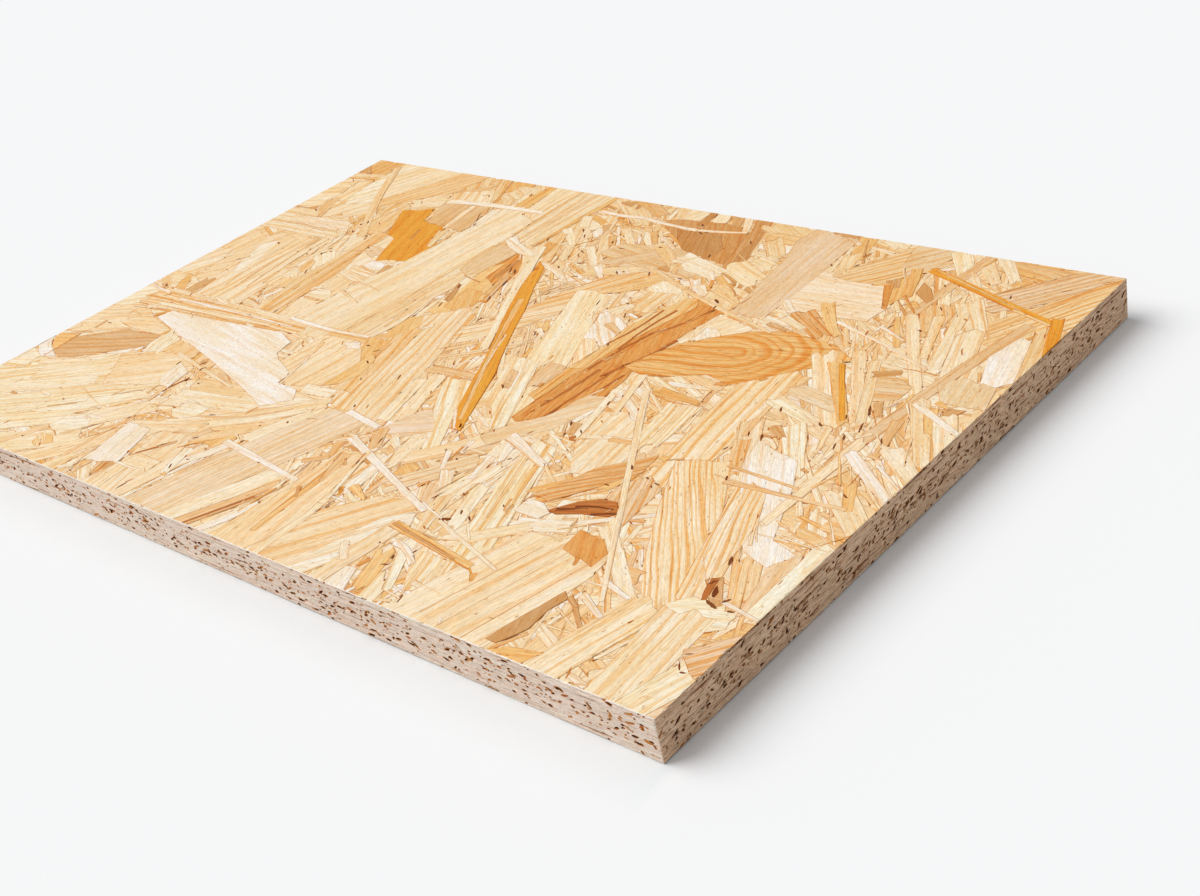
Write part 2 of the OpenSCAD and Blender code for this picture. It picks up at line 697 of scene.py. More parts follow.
class Skin:
    """The relief of one face: points, triangles, heights, and what each triangle shows."""

    def __init__(self, face, flakes, sheet, cuts_u, cuts_v):
        self.face = face
        self.flakes = flakes
        runs = []
        self.windows = [Window(sheet, flake, number) for number, flake in enumerate(flakes)]
        for flake, window in zip(flakes, self.windows):
            if window.shows.any():
                runs += seen_runs(flake.outline, sheet, window)
                line, joined = inset_line(flake.outline, flake.rim)
                runs += seen_runs(line, sheet, window, joined)
        for inset in (0.0, EASE):
            for line in face.border(inset):
                runs += list(zip(line[:-1], line[1:]))
        for u in cuts_u:
            runs.append(((u, -face.half_v), (u, face.half_v)))
        for v in cuts_v:
            runs.append(((-face.half_u, v), (face.half_u, v)))
        ends = np.array(runs, float).reshape(-1, 2)
        snapped, index = np.unique(np.round(ends, 4), axis=0, return_inverse=True)
        pairs = np.sort(index.reshape(-1, 2), axis=1)
        pairs = np.unique(pairs[pairs[:, 0] != pairs[:, 1]], axis=0)
        woven = delaunay_2d_cdt([Vector(p) for p in snapped], pairs.tolist(), [], 0, 1e-4, False)
        self.points = np.array([tuple(p) for p in woven[0]])
        tris = np.array([tuple(f) for f in woven[2] if len(f) == 3])
        a, b, c = (self.points[tris[:, k]] for k in range(3))
        area = (b[:, 0] - a[:, 0]) * (c[:, 1] - a[:, 1]) - (b[:, 1] - a[:, 1]) * (c[:, 0] - a[:, 0])
        tris[area < 0] = tris[area < 0][:, ::-1]
        centre = (a + b + c) / 3
        inside = face.clearance(centre[:, 0], centre[:, 1])[0] > 0
        self.tris = tris[inside]
        self.centre = centre[inside]
        self.measure(sheet)
        self.wear()

    def measure(self, sheet):
        """Heights of the points, and the flake on top at each triangle."""
        finder = Finder(sheet, self.points)
        relief = np.full(len(self.points), BED)
        for flake, window in zip(reversed(self.flakes), reversed(self.windows)):
            found = finder.near(flake, window)
            if len(found):
                deep = depth_inside(self.points[found], flake.outline)
                share = np.clip(deep / flake.rim, 0, 1)
                relief[found] += share * (flake.height(self.points[found]) - relief[found])
        gap, level = self.face.clearance(*self.points.T)
        share = np.clip(gap / EASE, 0, 1)
        self.height = share * np.minimum(relief, 0) + (1 - share) * level
        finder = Finder(sheet, self.centre)
        self.shown = np.full(len(self.tris), -1)
        for number in range(len(self.flakes) - 1, -1, -1):
            found = finder.near(self.flakes[number], self.windows[number])
            if len(found):
                hit = found[contains(self.centre[found], self.flakes[number].outline)]
                self.shown[hit] = number

    def wear(self):
        """What the material reads at each triangle's corners: tone, place in the log, rings and edge."""
        count = len(self.tris)
        # where no strand shows, the glue bed takes the darkest gap tone, painted shade of the hollow as
        # well
        self.tone = np.tile(linear(WOOD["gap_dark_and_painted_shade"]), (count, 1))
        self.rings = np.tile([5.0, 0.0, 0.0], (count, 1))
        self.wood = np.zeros((count, 3, 3))
        self.edge = np.ones((count, 3))
        corners = self.points[self.tris]
        self.wood[:, :, 0] = corners[:, :, 0]
        self.wood[:, :, 2] = corners[:, :, 1]
        order = np.argsort(self.shown, kind="stable")
        first, starts = np.unique(self.shown[order], return_index=True)
        for number, group in zip(first, np.split(order, starts[1:])):
            if number < 0:
                continue
            flake = self.flakes[number]
            self.tone[group] = flake.tone
            self.rings[group] = (flake.ring, flake.strength, flake.cut[3])
            at = corners[group].reshape(-1, 2)
            self.wood[group] = flake.wood(at).reshape(-1, 3, 3)
            if not flake.plain:
                self.edge[group] = np.clip(depth_inside(at, flake.outline) / flake.rim, 0, 1).reshape(-1, 3)


class Finder:
    """Finds the points near where a flake shows."""

    def __init__(self, sheet, points):
        self.y = points[:, 1]
        self.order = np.argsort(points[:, 0])
        self.sorted_x = points[self.order, 0]
        self.rows, self.cols = sheet.cell_of(points)

    def near(self, flake, window):
        a, b = np.searchsorted(self.sorted_x, (flake.low[0], flake.high[0]))
        found = self.order[a:b]
        found = found[(self.y[found] >= flake.low[1]) & (self.y[found] <= flake.high[1])]
        return found[window.look(self.rows[found], self.cols[found])]


# ---------------------------------------------------------------- pieces
def placed(name, data):
    """A new object in the scene, for a mesh, a lamp or a camera."""
    made = bpy.data.objects.new(name, data)
    bpy.context.scene.collection.objects.link(made)
    return made


def outer_loop(tris):
    """The one line of points round a patch of triangles, with the patch on its left."""
    edges = tris[:, [0, 1, 1, 2, 2, 0]].reshape(-1, 2)
    size = edges.max() + 1
    forward = edges[:, 0] * size + edges[:, 1]
    backward = edges[:, 1] * size + edges[:, 0]
    free = edges[~np.isin(forward, backward)]
    follow = dict(free.tolist())
    if len(follow) != len(free):
        raise ValueError("a patch of the board touches itself at a point")
    loop = [free[0][0]]
    while follow[loop[-1]] != loop[0]:
        loop.append(follow[loop[-1]])
    if len(loop) != len(free):
        raise ValueError("a patch of the board has a hole")
    return np.array(loop)


def slab_ring(low_u, high_u, low_v, high_v, step=25.0):
    """Points round the back of a slab, anticlockwise."""
    corners = [(low_u, low_v), (high_u, low_v), (high_u, high_v), (low_u, high_v)]
    ring = []
    for p, q in zip(corners, corners[1:] + corners[:1]):
        count = max(1, int(round(math.hypot(q[0] - p[0], q[1] - p[1]) / step)))
        for k in range(count):
            ring.append((p[0] + (q[0] - p[0]) * k / count, p[1] + (q[1] - p[1]) * k / count))
    return np.array(ring)


def wall_steps(loop_points, ring):
    """For each point of the loop, the slab point that it leads to, going round in step."""
    picked = np.array([int(np.argmin(np.hypot(*(ring - p).T))) for p in loop_points])
    turned = np.unwrap(picked * 2 * math.pi / len(ring)) * len(ring) / (2 * math.pi)
    return np.maximum.accumulate(np.round(turned).astype(int))


def folded_map(points, tris, low_u, low_v, high_u, high_v, folds):
    """Lay a long flat patch on a square in rows, all at one scale. Returns a place for each corner."""
    reach = (high_u - low_u) / folds
    rise = high_v - low_v
    margin = 0.012 * max(reach, folds * rise)
    scale = 1.0 / max(reach + 2 * margin, folds * (rise + margin) + 2 * margin)
    middle = points[tris].mean(1)
    row = np.clip(((middle[:, 0] - low_u) / reach).astype(int), 0, folds - 1)
    corner = points[tris]
    u = (corner[:, :, 0] - low_u - row[:, None] * reach + margin) * scale
    v = (corner[:, :, 1] - low_v + row[:, None] * (rise + margin) + margin) * scale
    return np.stack([u, v], 2)


def slab_piece(name, skin, box, folds, inner, finish):
    """A closed slab under one stretch of a skin, as an object."""
    low_u, high_u, low_v, high_v = box
    u, v = skin.centre.T
    inside = (u > low_u) & (u < high_u) & (v > low_v) & (v < high_v)
    used, tris = np.unique(skin.tris[inside], return_inverse=True)
    tris = tris.reshape(-1, 3)
    points = skin.points[used]
    height = skin.height[used]
    loop = outer_loop(tris)
    face = skin.face
    back_u = (max(low_u, -face.half_u + SLAB), min(high_u, face.half_u - SLAB))
    back_v = (max(low_v, -face.half_v + SLAB), min(high_v, face.half_v - SLAB))
    ring = slab_ring(back_u[0], back_u[1], back_v[0], back_v[1])
    steps = wall_steps(points[loop], ring)
    base = len(points)
    walls = []
    for k, here in enumerate(loop):
        after = loop[(k + 1) % len(loop)]
        s = steps[k]
        e = steps[k + 1] if k + 1 < len(loop) else steps[0] + len(ring)
        walls.append((after, here, base + s % len(ring)))
        for n in range(s, e):
            walls.append((after, base + n % len(ring), base + (n + 1) % len(ring)))
    floor = tuple(base + n for n in range(len(ring)))[::-1]
    place = np.concatenate([face.solid(points[:, 0], points[:, 1], height),
                            face.solid(ring[:, 0], ring[:, 1], np.full(len(ring), -SLAB))])
    mesh = bpy.data.meshes.new(name)
    mesh.from_pydata((place * MM).tolist(), [], tris.tolist() + walls + [floor])
    count = len(tris)
    corners = len(mesh.loops)
    rest = corners - 3 * count
    colour = np.ones((corners, 4))
    colour[:3 * count, :3] = np.repeat(skin.tone[inside], 3, axis=0)
    colour[3 * count:, :3] = WOOD_INNER
    store(mesh, "tone", "FLOAT_COLOR", "color", colour)
    store(mesh, "rings", "FLOAT_VECTOR", "vector",
          np.concatenate([np.repeat(skin.rings[inside], 3, axis=0), np.tile([5.0, 0, 0], (rest, 1))]))
    store(mesh, "wood", "FLOAT_VECTOR", "vector",
          np.concatenate([skin.wood[inside].reshape(-1, 3), np.zeros((rest, 3))]))
    store(mesh, "edge", "FLOAT", "value", np.concatenate([skin.edge[inside].ravel(), np.ones(rest)]))
    spots = folded_map(points, tris, low_u, low_v, high_u, high_v, folds).reshape(-1, 2)
    parked = np.tile([0.5, 0.999], (rest, 1))
    layer = mesh.uv_layers.new(name="OFBake")
    layer.data.foreach_set("uv", np.concatenate([spots, parked]).ravel())
    mesh.materials.append(finish)
    mesh.materials.append(inner)
    slots = np.zeros(len(mesh.polygons), np.int32)
    slots[count:] = 1
    mesh.polygons.foreach_set("material_index", slots)
    mesh.update()
    return placed(name, mesh)


def store(mesh, name, kind, field, values):
    """Keep a value for each corner of the mesh's faces, for a finish to read."""
    layer = mesh.attributes.new(name, kind, "CORNER")
    layer.data.foreach_set(field, np.ascontiguousarray(values, dtype=np.float32).ravel())



# ---------------------------------------------------------------- finishes
class Port:
    """A shader socket, or a number, that takes part in ordinary sums."""

    def __init__(self, net, value):
        self.net = net
        self.value = value

    def _sum(self, operation, *others):
        values = [self.value] + [o.value if isinstance(o, Port) else o for o in others]
        return self.net.node("ShaderNodeMath", {"operation": operation}, dict(enumerate(values)))

    def __add__(self, other):
        return self._sum("ADD", other)

    __radd__ = __add__

    def __sub__(self, other):
        return self._sum("SUBTRACT", other)

    def __rsub__(self, other):
        return Port(self.net, other)._sum("SUBTRACT", self)

    def __mul__(self, other):
        return self._sum("MULTIPLY", other)

    __rmul__ = __mul__

    def __truediv__(self, other):
        return self._sum("DIVIDE", other)

    def __rtruediv__(self, other):
        return Port(self.net, other)._sum("DIVIDE", self)

    def fraction(self):
        return self._sum("FRACT")

    def at_least(self, other):
        return self._sum("MAXIMUM", other)

    def size(self):
        return self._sum("ABSOLUTE")

    def step_up(self, low, high):
        """0 below low, 1 above high, and a soft rise between them."""
        return self.net.node("ShaderNodeMapRange", {"interpolation_type": "SMOOTHSTEP"},
                             {"Value": self, "From Min": low, "From Max": high})


class Finish:
    """A material, or the world, and the nodes in it."""

    def __init__(self, name, owner=None):
        self.material = owner or bpy.data.materials.new(name)
        self.material.use_nodes = True
        self.tree = self.material.node_tree
        self.tree.nodes.clear()

    def node(self, kind, settings=None, sockets=None, out=0):
        """Add a node: its type, its settings, then the values or links of its sockets."""
        made = self.tree.nodes.new(kind)
        for key, value in (settings or {}).items():
            setattr(made, key, value)
        for key, value in (sockets or {}).items():
            value = value.value if isinstance(value, Port) else value
            if isinstance(value, bpy.types.NodeSocket):
                self.tree.links.new(value, made.inputs[key])
            else:
                made.inputs[key].default_value = value
        return Port(self, made.outputs[out])

    def read(self, name, out):
        return self.node("ShaderNodeAttribute", {"attribute_name": name}, out=out)

    def parts(self, vector):
        made = self.node("ShaderNodeSeparateXYZ", None, {0: vector}).value.node
        return [Port(self, made.outputs[k]) for k in range(3)]

    def joined(self, x, y, z):
        return self.node("ShaderNodeCombineXYZ", None, {0: x, 1: y, 2: z})

    def noise(self, vector, detail=2.0, rough=0.5):
        return self.node("ShaderNodeTexNoise", {"noise_dimensions": "3D"},
                         {"Vector": vector, "Scale": 1.0, "Detail": detail, "Roughness": rough})

    def mix(self, share, first, second, blend="MIX"):
        """One colour laid over another by a share."""
        return self.node("ShaderNodeMix", {"data_type": "RGBA", "blend_type": blend, "clamp_factor": True},
                         {0: share, 6: first, 7: second}, out=2)

    def scaled(self, colour, amount):
        return self.node("ShaderNodeVectorMath", {"operation": "SCALE"}, {0: colour, "Scale": amount})

    def times(self, vector, other):
        """A colour or a size times another, part by part."""
        return self.node("ShaderNodeVectorMath", {"operation": "MULTIPLY"}, {0: vector, 1: other})

    def shader(self, colour, normal, roughness, specular):
        sockets = {"Base Color": colour, "Roughness": roughness, "Specular IOR Level": specular}
        if normal is not None:
            sockets["Normal"] = normal
        made = self.node("ShaderNodeBsdfPrincipled", None, sockets)
        self.end("ShaderNodeOutputMaterial", made)
        return self.material

    def end(self, kind, surface):
        """Link the last node; an output has no sockets of its own to hand on."""
        made = self.tree.nodes.new(kind)
        self.tree.links.new(surface.value, made.inputs["Surface"])

    def bumped(self, height, strength, distance):
        return self.node("ShaderNodeBump", None,
                         {"Height": height, "Strength": strength, "Distance": distance})


# what a tone is multiplied by
PALE = (1.005, 1.035, 1.09)
LATEWOOD = (0.94, 0.67, 0.37)
HAIR = (0.86, 0.64, 0.40)
BLOTCH = (0.95, 0.80, 0.54)
STAIN = (0.98, 0.93, 0.82)
# brown seams: dark glue joints, with painted shade in the crevices between strands
SEAM_AND_PAINTED_SHADE = (0.66, 0.38, 0.17)
FLECK = (0.60, 0.38, 0.20)
CUT_LAYER = (0.74, 0.63, 0.53)
CUT_DUST = (0.74, 0.57, 0.42)


def strand_finish():
    """Pressed softwood strands: growth rings, fibres, resin flecks, and brown seams that are partly painted
    shade.
    """
    f = Finish("pressed_strands")
    tone = f.read("tone", "Color")
    across, deep, along = f.parts(f.read("wood", "Vector"))
    spacing, strength, start = f.parts(f.read("rings", "Vector"))
    edge = f.read("edge", "Fac")

    # the years of the log: rings that waver along the stem, each with its own depth of colour
    drift = f.noise(f.joined(across * 0.055, deep * 0.055, along * 0.017 + start * 0.1), 2.0)
    place = f.joined(across, deep.at_least(0.0), 0.0)
    radius = f.node("ShaderNodeVectorMath", {"operation": "LENGTH"}, {0: place}, out="Value")
    years = (radius + (drift - 0.5) * 8.0) / spacing
    uneven = f.noise(f.joined(years * 0.55, start * 0.37, along * 0.006), 1.0)
    years = years + (uneven - 0.5) * 1.9
    phase = years.fraction()
    each = f.noise(f.joined((years - phase) * 0.73, start * 0.53, along * 0.012), 1.0)
    late = phase.step_up(0.42, 0.86) * (1 - phase.step_up(0.86, 1.0)) * each.step_up(0.28, 0.52)

    # what lies over them: broad shade, long tan streaks, fibres, and short dark flecks
    cloud = f.noise(f.joined(across * 0.10, start * 0.9, along * 0.03), 2.0)
    streak = f.noise(f.joined(across * 0.75, start * 0.7, along * 0.028), 2.0, 0.6)
    thread = f.noise(f.joined(across * 1.5, start * 0.4, along * 0.05), 3.0, 0.6)
    fibre = f.noise(f.joined(across * 4.4, start * 0.3, along * 0.30), 2.0, 0.6)
    blotch = f.noise(f.joined(across * 0.5, start * 0.4, along * 0.24), 3.0)
    flecks = f.noise(f.joined(across * 1.5, start * 0.21, along * 0.32), 1.0)
    mottle = f.noise(f.joined(across * 0.9, start * 0.6, along * 0.6), 2.0)
    hair = f.noise(f.joined(across * 0.55, start * 0.8, along * 0.008), 1.0)
    hairs = 1 - (hair - 0.5).size().step_up(0.0, 0.05)

    colour = f.mix(cloud.step_up(0.34, 0.66), f.times(tone, PALE), f.times(tone, STAIN))
    colour = f.mix(late * strength * 1.2, colour, f.times(colour, LATEWOOD))
    colour = f.mix(streak.step_up(0.54, 0.72) * (strength * 0.45 + 0.1), colour, f.times(colour, LATEWOOD))
    colour = f.mix(hairs * (strength * 0.6 + 0.15), colour, f.times(colour, HAIR))
    colour = f.mix(blotch.step_up(0.57, 0.70) * 0.55, colour, f.times(colour, BLOTCH))
    colour = f.mix(thread.step_up(0.40, 0.64) * 0.8, f.times(colour, PALE), f.times(colour, STAIN))
    colour = f.scaled(colour, 1.0 + (fibre - 0.5) * 0.85 + (mottle - 0.5) * 0.2)
    colour = f.mix(flecks.step_up(0.70, 0.75) * 0.9, colour, f.times(colour, FLECK))
    # brown along each strand's edge: dark joints, with painted shade in the crevice
    line = f.noise(f.joined(across * 0.16, start, along * 0.09), 2.0)
    seam_and_painted_shade = (1 - edge.step_up(0.1, 1.0)) * (0.5 + line.step_up(0.36, 0.58) * 0.5)
    colour = f.mix(seam_and_painted_shade, colour, f.times(colour, SEAM_AND_PAINTED_SHADE))
    height = thread * 0.5 + fibre * 0.5 + late * strength * 0.35
    return f.shader(colour, f.bumped(height, 0.35, 0.00012), 0.7, 0.12)


def edge_finish():
    """Sawn strand ends: fine grey-brown speckle over layered cut strands."""
    f = Finish("sawn_edge")
    tone = f.read("tone", "Color")
    across, deep, along = f.parts(f.read("wood", "Vector"))
    spacing, strength, start = f.parts(f.read("rings", "Vector"))
    edge = f.read("edge", "Fac")
    dust = f.noise(f.joined(across * 2.6, start * 0.3, along * 0.9), 3.0, 0.7)
    grit = f.noise(f.joined(across * 5.0, start * 0.7, along * 2.6), 1.0)
    layer = f.noise(f.joined(across * 2.4, start * 0.5, along * 0.16), 2.0)
    fine = f.noise(f.joined(across * 4.5, start * 0.2, along * 0.32), 3.0, 0.65)
    colour = f.scaled(tone, 1.0 + (dust - 0.5) * 0.4 + (grit - 0.5) * 0.45 + (fine - 0.5) * strength * 1.8)
    colour = f.mix(layer.step_up(0.50, 0.68) * strength, colour, f.times(colour, CUT_LAYER))
    colour = f.mix(dust.step_up(0.55, 0.66) * 0.8, colour, f.times(colour, CUT_DUST))
    # brown along each cut strand's edge: dark joints, with painted shade in the crevice
    seam_and_painted_shade = (1 - edge.step_up(0.0, 1.0)) * (0.15 + layer.step_up(0.45, 0.62) * 0.7)
    colour = f.mix(seam_and_painted_shade, colour, f.times(colour, SEAM_AND_PAINTED_SHADE))
    return f.shader(colour, f.bumped(dust * 0.6 + grit * 0.4, 0.5, 0.0002), 0.75, 0.2)


def plain_finish(name, colour):
    """Wood inside the board, which nothing shows."""
    return Finish(name).shader((*colour, 1.0), None, 0.8, 0.2)


# ---------------------------------------------------------------- the strands that make this face
# Laid from the bottom up. shape: tone, grain angle, ring spacing, ring strength, outline corners.
# strip: tone, the two ends of the middle line, widths, bow.
STRANDS = [
    # far left
    shape("straw", 62, 7, 0.6, -206, 153, -204, 120, -201, 92, -197, 79, -190, 84, -182, 90, -167, 102,
          -150, 115, -132, 130, -110, 153),
    shape("cream", 60, 6, 0.5, -204, 140, -195, 132, -180, 104, -196, 96, -203, 110),
    shape("flax", 58, 5, 0.6, -180, 104, -172, 100, -150, 120, -130, 140, -120, 153, -150, 153, -168, 128),
    shape("flax", 75, 5, 0.5, -228, 153, -203, 153, -204, 127, -215, 124, -228, 125),
    shape("honey", 85, 4, 0.6, -220, 153, -205, 153, -205, 141, -213, 132, -220, 130, -222, 140),
    strip("umber", -228, 140, -216, 131, 8, 5),
    strip("cream", -230, 127, -203, 133, 6, 3),
    shape("straw", 25, 6, 0.6, -228, 124, -204, 126, -200, 92, -203, 80, -214, 84, -228, 86),
    shape("flax", 85, 5, 0.5, -213, 122, -204, 126, -201, 100, -209, 98, -212, 108),
    strip("tan", -209, 100, -200, 78, 8, 7),
    strip("umber", -228, 85, -208, 88, 3, 4, bow=-2),
    shape("flax", 0, 6, 0.5, -228, 84, -205, 86, -197, 78, -228, 76),
    shape("straw", 70, 5, 0.7, -228, 60, -203, 54, -203, 30, -212, 12, -228, 2),
    shape("straw", 85, 5, 0.5, -222, 56, -202, 48, -203, 22, -214, 14, -224, 20),
    strip("honey", -220, 60, -200, 50, 2.2, 2.4),
    shape("straw", 60, 5, 0.6, -228, 30, -214, 34, -207, 18, -212, 2, -228, -6),
    shape("straw", 50, 4, 0.5, -206, 55, -197, 58, -196, 20, -190, -6, -206, -2, -210, 20),
    shape("cream", 2, 6, 0.6, -228, 78, -190, 79, -170, 80, -163, 68, -167, 61, -198, 60, -228, 60),
    strip("flax", -228, 67, -170, 68, 2.0, 1.2, bow=1),
    shape("white", 2, 6, 0.3, -214, 77, -190, 79, -172, 80, -164, 70, -190, 69, -212, 70),
    shape("straw", 88, 6.5, 0.8, -200, 52, -190, 55, -168, 61, -161, 42, -157, 20, -154, -13, -188, -13,
          -192, 0, -200, 20),
    shape("white", 80, 5, 0.2, -202, 42, -197, 50, -193, 44, -188, 30, -185, 14, -190, 14, -197, 26),
    strip("flax", -186, 54, -180, 2, 2.2, 1.2, bow=-1.5),
    strip("flax", -176, 60, -173, 2, 1.6, 1.2, bow=-1.5),
    strip("flax", -173, 60, -166, 4, 1.4, 1.2, bow=-1),
    strip("flax", -166, 60, -160, 10, 3.0, 1.6, bow=-2),
    shape("straw", 75, 5, 0.5, -165, 66, -150, 72, -143, 60, -145, 20, -152, -2, -158, 20, -162, 45),
    strip("cream", -157, 62, -150, 42, 8, 6),
    shape("cream", -40, 5, 0.3, -160, 44, -152, 52, -144, 44, -147, 30, -152, 34),
    shape("flax", -70, 4, 0.4, -157, 40, -152, 38, -148, 30, -150, 26, -157, 30),
    strip("cream", -156, 27, -150, 22, 4, 4),
    shape("flax", -85, 4, 0.5, -158, 20, -149, 20, -144, 24, -145, 12, -152, 10, -160, 11),
    strip("cream", -160, 76, -150, 52, 5, 3),
    shape("flax", -80, 4, 0.5, -166, 108, -156, 108, -146, 100, -142, 76, -150, 72, -162, 84, -168, 96),
    strip("straw", -160, 102, -164, 84, 5, 4, ring=3),
    strip("honey", -163, 107, -162, 92, 4, 1.6),
    strip("straw", -186, 84, -172, 94, 7, 5, ring=4),
    shape("straw", -80, 8, 0.9, -147, 76, -133, 76, -130, 50, -127, 20, -127, -12, -142, -12, -145, 20),
    strip("honey", -143, 72, -137, -2, 2.0, 2.6, bow=-1),
    strip("honey", -136, 66, -131, -12, 1.4, 2.6, bow=-1),
    strip("honey", -126, 24, -124, -12, 2.4, 3.2),
    shape("cream", 88, 5, 0.4, -130, 40, -114, 42, -110, 10, -112, -14, -123, -13, -127, 10),
    shape("cream", 80, 4, 0.3, -136, 78, -130, 74, -122, 60, -112, 52, -110, 36, -129, 36, -136, 56),
    strip("rose", -134, 60, -122, 56, 8, 10, ring=3),
    strip("white", -128, 37, -104, 33, 12, 10, ring=2.4, strength=0.8),
    shape("white", 5, 5, 0.2, -122, 50, -112, 50, -108, 44, -112, 41, -123, 42),
    strip("flax", -124, 43, -110, 40, 1.6, 1.6),
    strip("umber", -108, 49, -105, 40, 4, 5),
    strip("cream", -127, 17, -110, 9, 6, 5),
    shape("cream", 10, 5, 0.3, -125, 17, -117, 18, -112, 14, -112, 7, -125, 7),
    strip("flax", -126, 8, -111, 8, 1.4, 1.2),
    shape("flax", -60, 6, 0.8, -136, 153, -84, 153, -85, 136, -98, 124, -135, 121, -141, 130),
    strip("tan", -140, 124, -124, 138, 9, 6, ring=4),
    shape("honey", -50, 5, 0.5, -116, 153, -100, 153, -104, 142, -112, 136, -118, 142),
    shape("cream", -30, 6, 0.5, -110, 144, -96, 148, -90, 140, -95, 132, -108, 130),
    shape("cream", -50, 6, 0.6, -100, 153, -84, 153, -85, 132, -97, 126),
    shape("honey", -85, 4, 0.7, -98, 153, -86, 153, -85, 126, -94, 122, -95, 136, -92, 146),
    strip("cream", -134, 128, -114, 126, 7, 5),
    shape("straw", -65, 6, 0.7, -141, 128, -120, 137, -106, 117, -120, 112, -137, 114),
    strip("umber", -119, 150, -109, 124, 1.6, 1.0, bow=0.8),
    shape("amber", -70, 7, 0.5, -154, 101, -146, 103, -137, 109, -131, 95, -122, 93, -112, 94, -110, 80,
          -102, 76, -101, 55, -110, 54, -120, 50, -126, 62, -131, 73, -139, 75),
    strip("umber", -125, 86, -121, 75, 1.2, 0.8),
    shape("rose", -86, 6, 0.35, -137, 117, -106, 119, -99, 96, -100, 91, -112, 92, -128, 94, -133, 105),
    strip("straw", -117, 117, -113, 92, 4, 3),
    strip("straw", -111, 90, -104, 72, 6, 3),
    strip("cream", -156, 108, -137, 119, 12, 9),
    shape("cream", 30, 4, 0.3, -150, 118, -144, 122, -138, 120, -136, 110, -148, 108),
    # left centre
    shape("cream", 88, 6, 0.6, -87, 153, -66, 153, -68, 130, -70, 112, -84, 124),
    shape("cream", 84, 9, 0.3, -97, 122, -88, 126, -80, 117, -70, 113, -68, 95, -70, 60, -72, 20, -75, -5,
          -78, -22, -95, -20, -112, -9, -110, 20, -104, 52, -100, 90),
    strip("white", -101, 118, -98, 98, 6, 4),
    shape("straw", 89, 5.5, 0.6, -68, 153, -43, 153, -45, 120, -48, 88, -60, 91, -67, 94, -69, 115),
    strip("flax", -69, 153, -69, 98, 2, 2),
    strip("flax", -58, 153, -61, 94, 1.6, 1.2),
    shape("honey", 89, 5, 0.4, -46, 153, -43, 153, -46, 118, -48, 90, -50, 92, -49, 120),
    shape("straw", 85, 6, 0.5, -71, 85, -51, 81, -52, 55, -57, 30, -53, 5, -57, -12, -74, -9, -73, 20,
          -70, 50),
    strip("tan", -71, 50, -70, 20, 2, 2, ring=3),
    strip("flax", -67, 34, -65, 20, 3, 3),
    strip("flax", -61, 30, -58, 0, 3, 2),
    shape("dun", 85, 5, 0.3, -68, 88, -63, 89, -51, 82, -52, 70, -54, 58, -60, 54, -68, 58, -70, 72),
    shape("chip", -75, 3, 0.9, -51, 82, -42, 81, -36, 66, -31, 45, -28, 36, -36, 33, -43, 42, -50, 44,
          -54, 60),
    shape("honey", -80, 4, 0.4, -54, 66, -49, 72, -48, 56, -36, 50, -32, 38, -40, 20, -50, 18, -54, 44),
    strip("walnut", -45, 76, -43, 58, 2, 3),
    shape("honey", -60, 5, 0.3, -48, 44, -38, 44, -32, 34, -34, 24, -46, 26),
    strip("rose", -40, 66, -33, 42, 4, 5),
    strip("cream", -56, 54, -50, 28, 5, 4),
    shape("straw", -72, 4, 0.9, -50, 14, -40, 22, -33, 30, -22, 24, -17, 8, -12, -10, -3, -35, 5, -57,
          4, -63, -20, -62, -35, -58, -39, -40, -47, -15),
    shape("flax", -72, 4, 0.8, -46, 4, -38, 8, -30, -30, -26, -50, -34, -50, -38, -30),
    shape("honey", -60, 6, 0.3, -54, 12, -48, 16, -42, 6, -48, -8, -54, -2),
    shape("walnut", -62, 3, 0.4, -57, 47, -54, 46, -47, 33, -47, 30, -51, 31),
    shape("straw", 84, 4.2, 0.6, -83, -18, -66, -14, -45, -19, -41, -30, -44, -52, -62, -57, -82, -45),
    strip("flax", -76, -22, -64, -58, 2.2, 1.4),
    # centre top
    strip("straw", -40, 152, -10, 128, 14, 10),
    strip("umber", -38, 146, -30, 144, 4, 3),
    strip("walnut", -28, 152, -26, 142, 4, 2),
    strip("umber", -17, 152, -16, 144, 3, 2),
    shape("straw", -65, 4, 0.6, -45, 130, -28, 132, -22, 118, -30, 100, -47, 108),
    strip("honey", -44, 127, -30, 122, 5, 4, bow=1),
    strip("cream", -45, 126, -28, 100, 6, 4),
    strip("straw", -40, 116, -24, 84, 6, 5),
    strip("cream", -46, 112, -30, 98, 5, 4),
    strip("flax", -44, 106, -20, 60, 6, 4),
    strip("cream", -45, 84, -24, 58, 8, 4),
    strip("umber", -28, 122, -24, 114, 4, 3),
    strip("white", -30, 116, -23, 109, 6, 5),
    strip("rose", -22, 118, -20, 98, 5, 4),
    strip("cream", -16, 122, 0, 107, 5, 4),
    strip("straw", -20, 112, -2, 86, 7, 5),
    strip("tan", -17, 113, -10, 104, 4.4, 3.4),
    strip("cream", -20, 100, -4, 84, 5, 4),
    strip("cream", -8, 100, 10, 82, 8, 6),
    strip("straw", 0, 122, 24, 100, 10, 8),
    strip("white", -2, 116, 2, 110, 3, 2),
    strip("tan", 0, 124, 10, 112, 4, 3),
    strip("tan", -30, 152, -6, 139, 10, 6),
    strip("straw", -2, 153, 6, 138, 9, 7),
    shape("straw", 60, 5, 0.4, 3, 153, 15, 153, 15, 139, 4, 137),
    strip("cream", 22, 153, 26, 139, 9, 8),
    shape("dun", -10, 5, 0.6, -6, 108, 20, 112, 44, 108, 56, 100, 48, 88, 30, 84, 4, 84, -10, 96),
    strip("straw", -4, 78, 22, 88, 9, 8, ring=3),
    strip("rose", 0, 86, 30, 112, 9, 7, bow=2, ring=3),
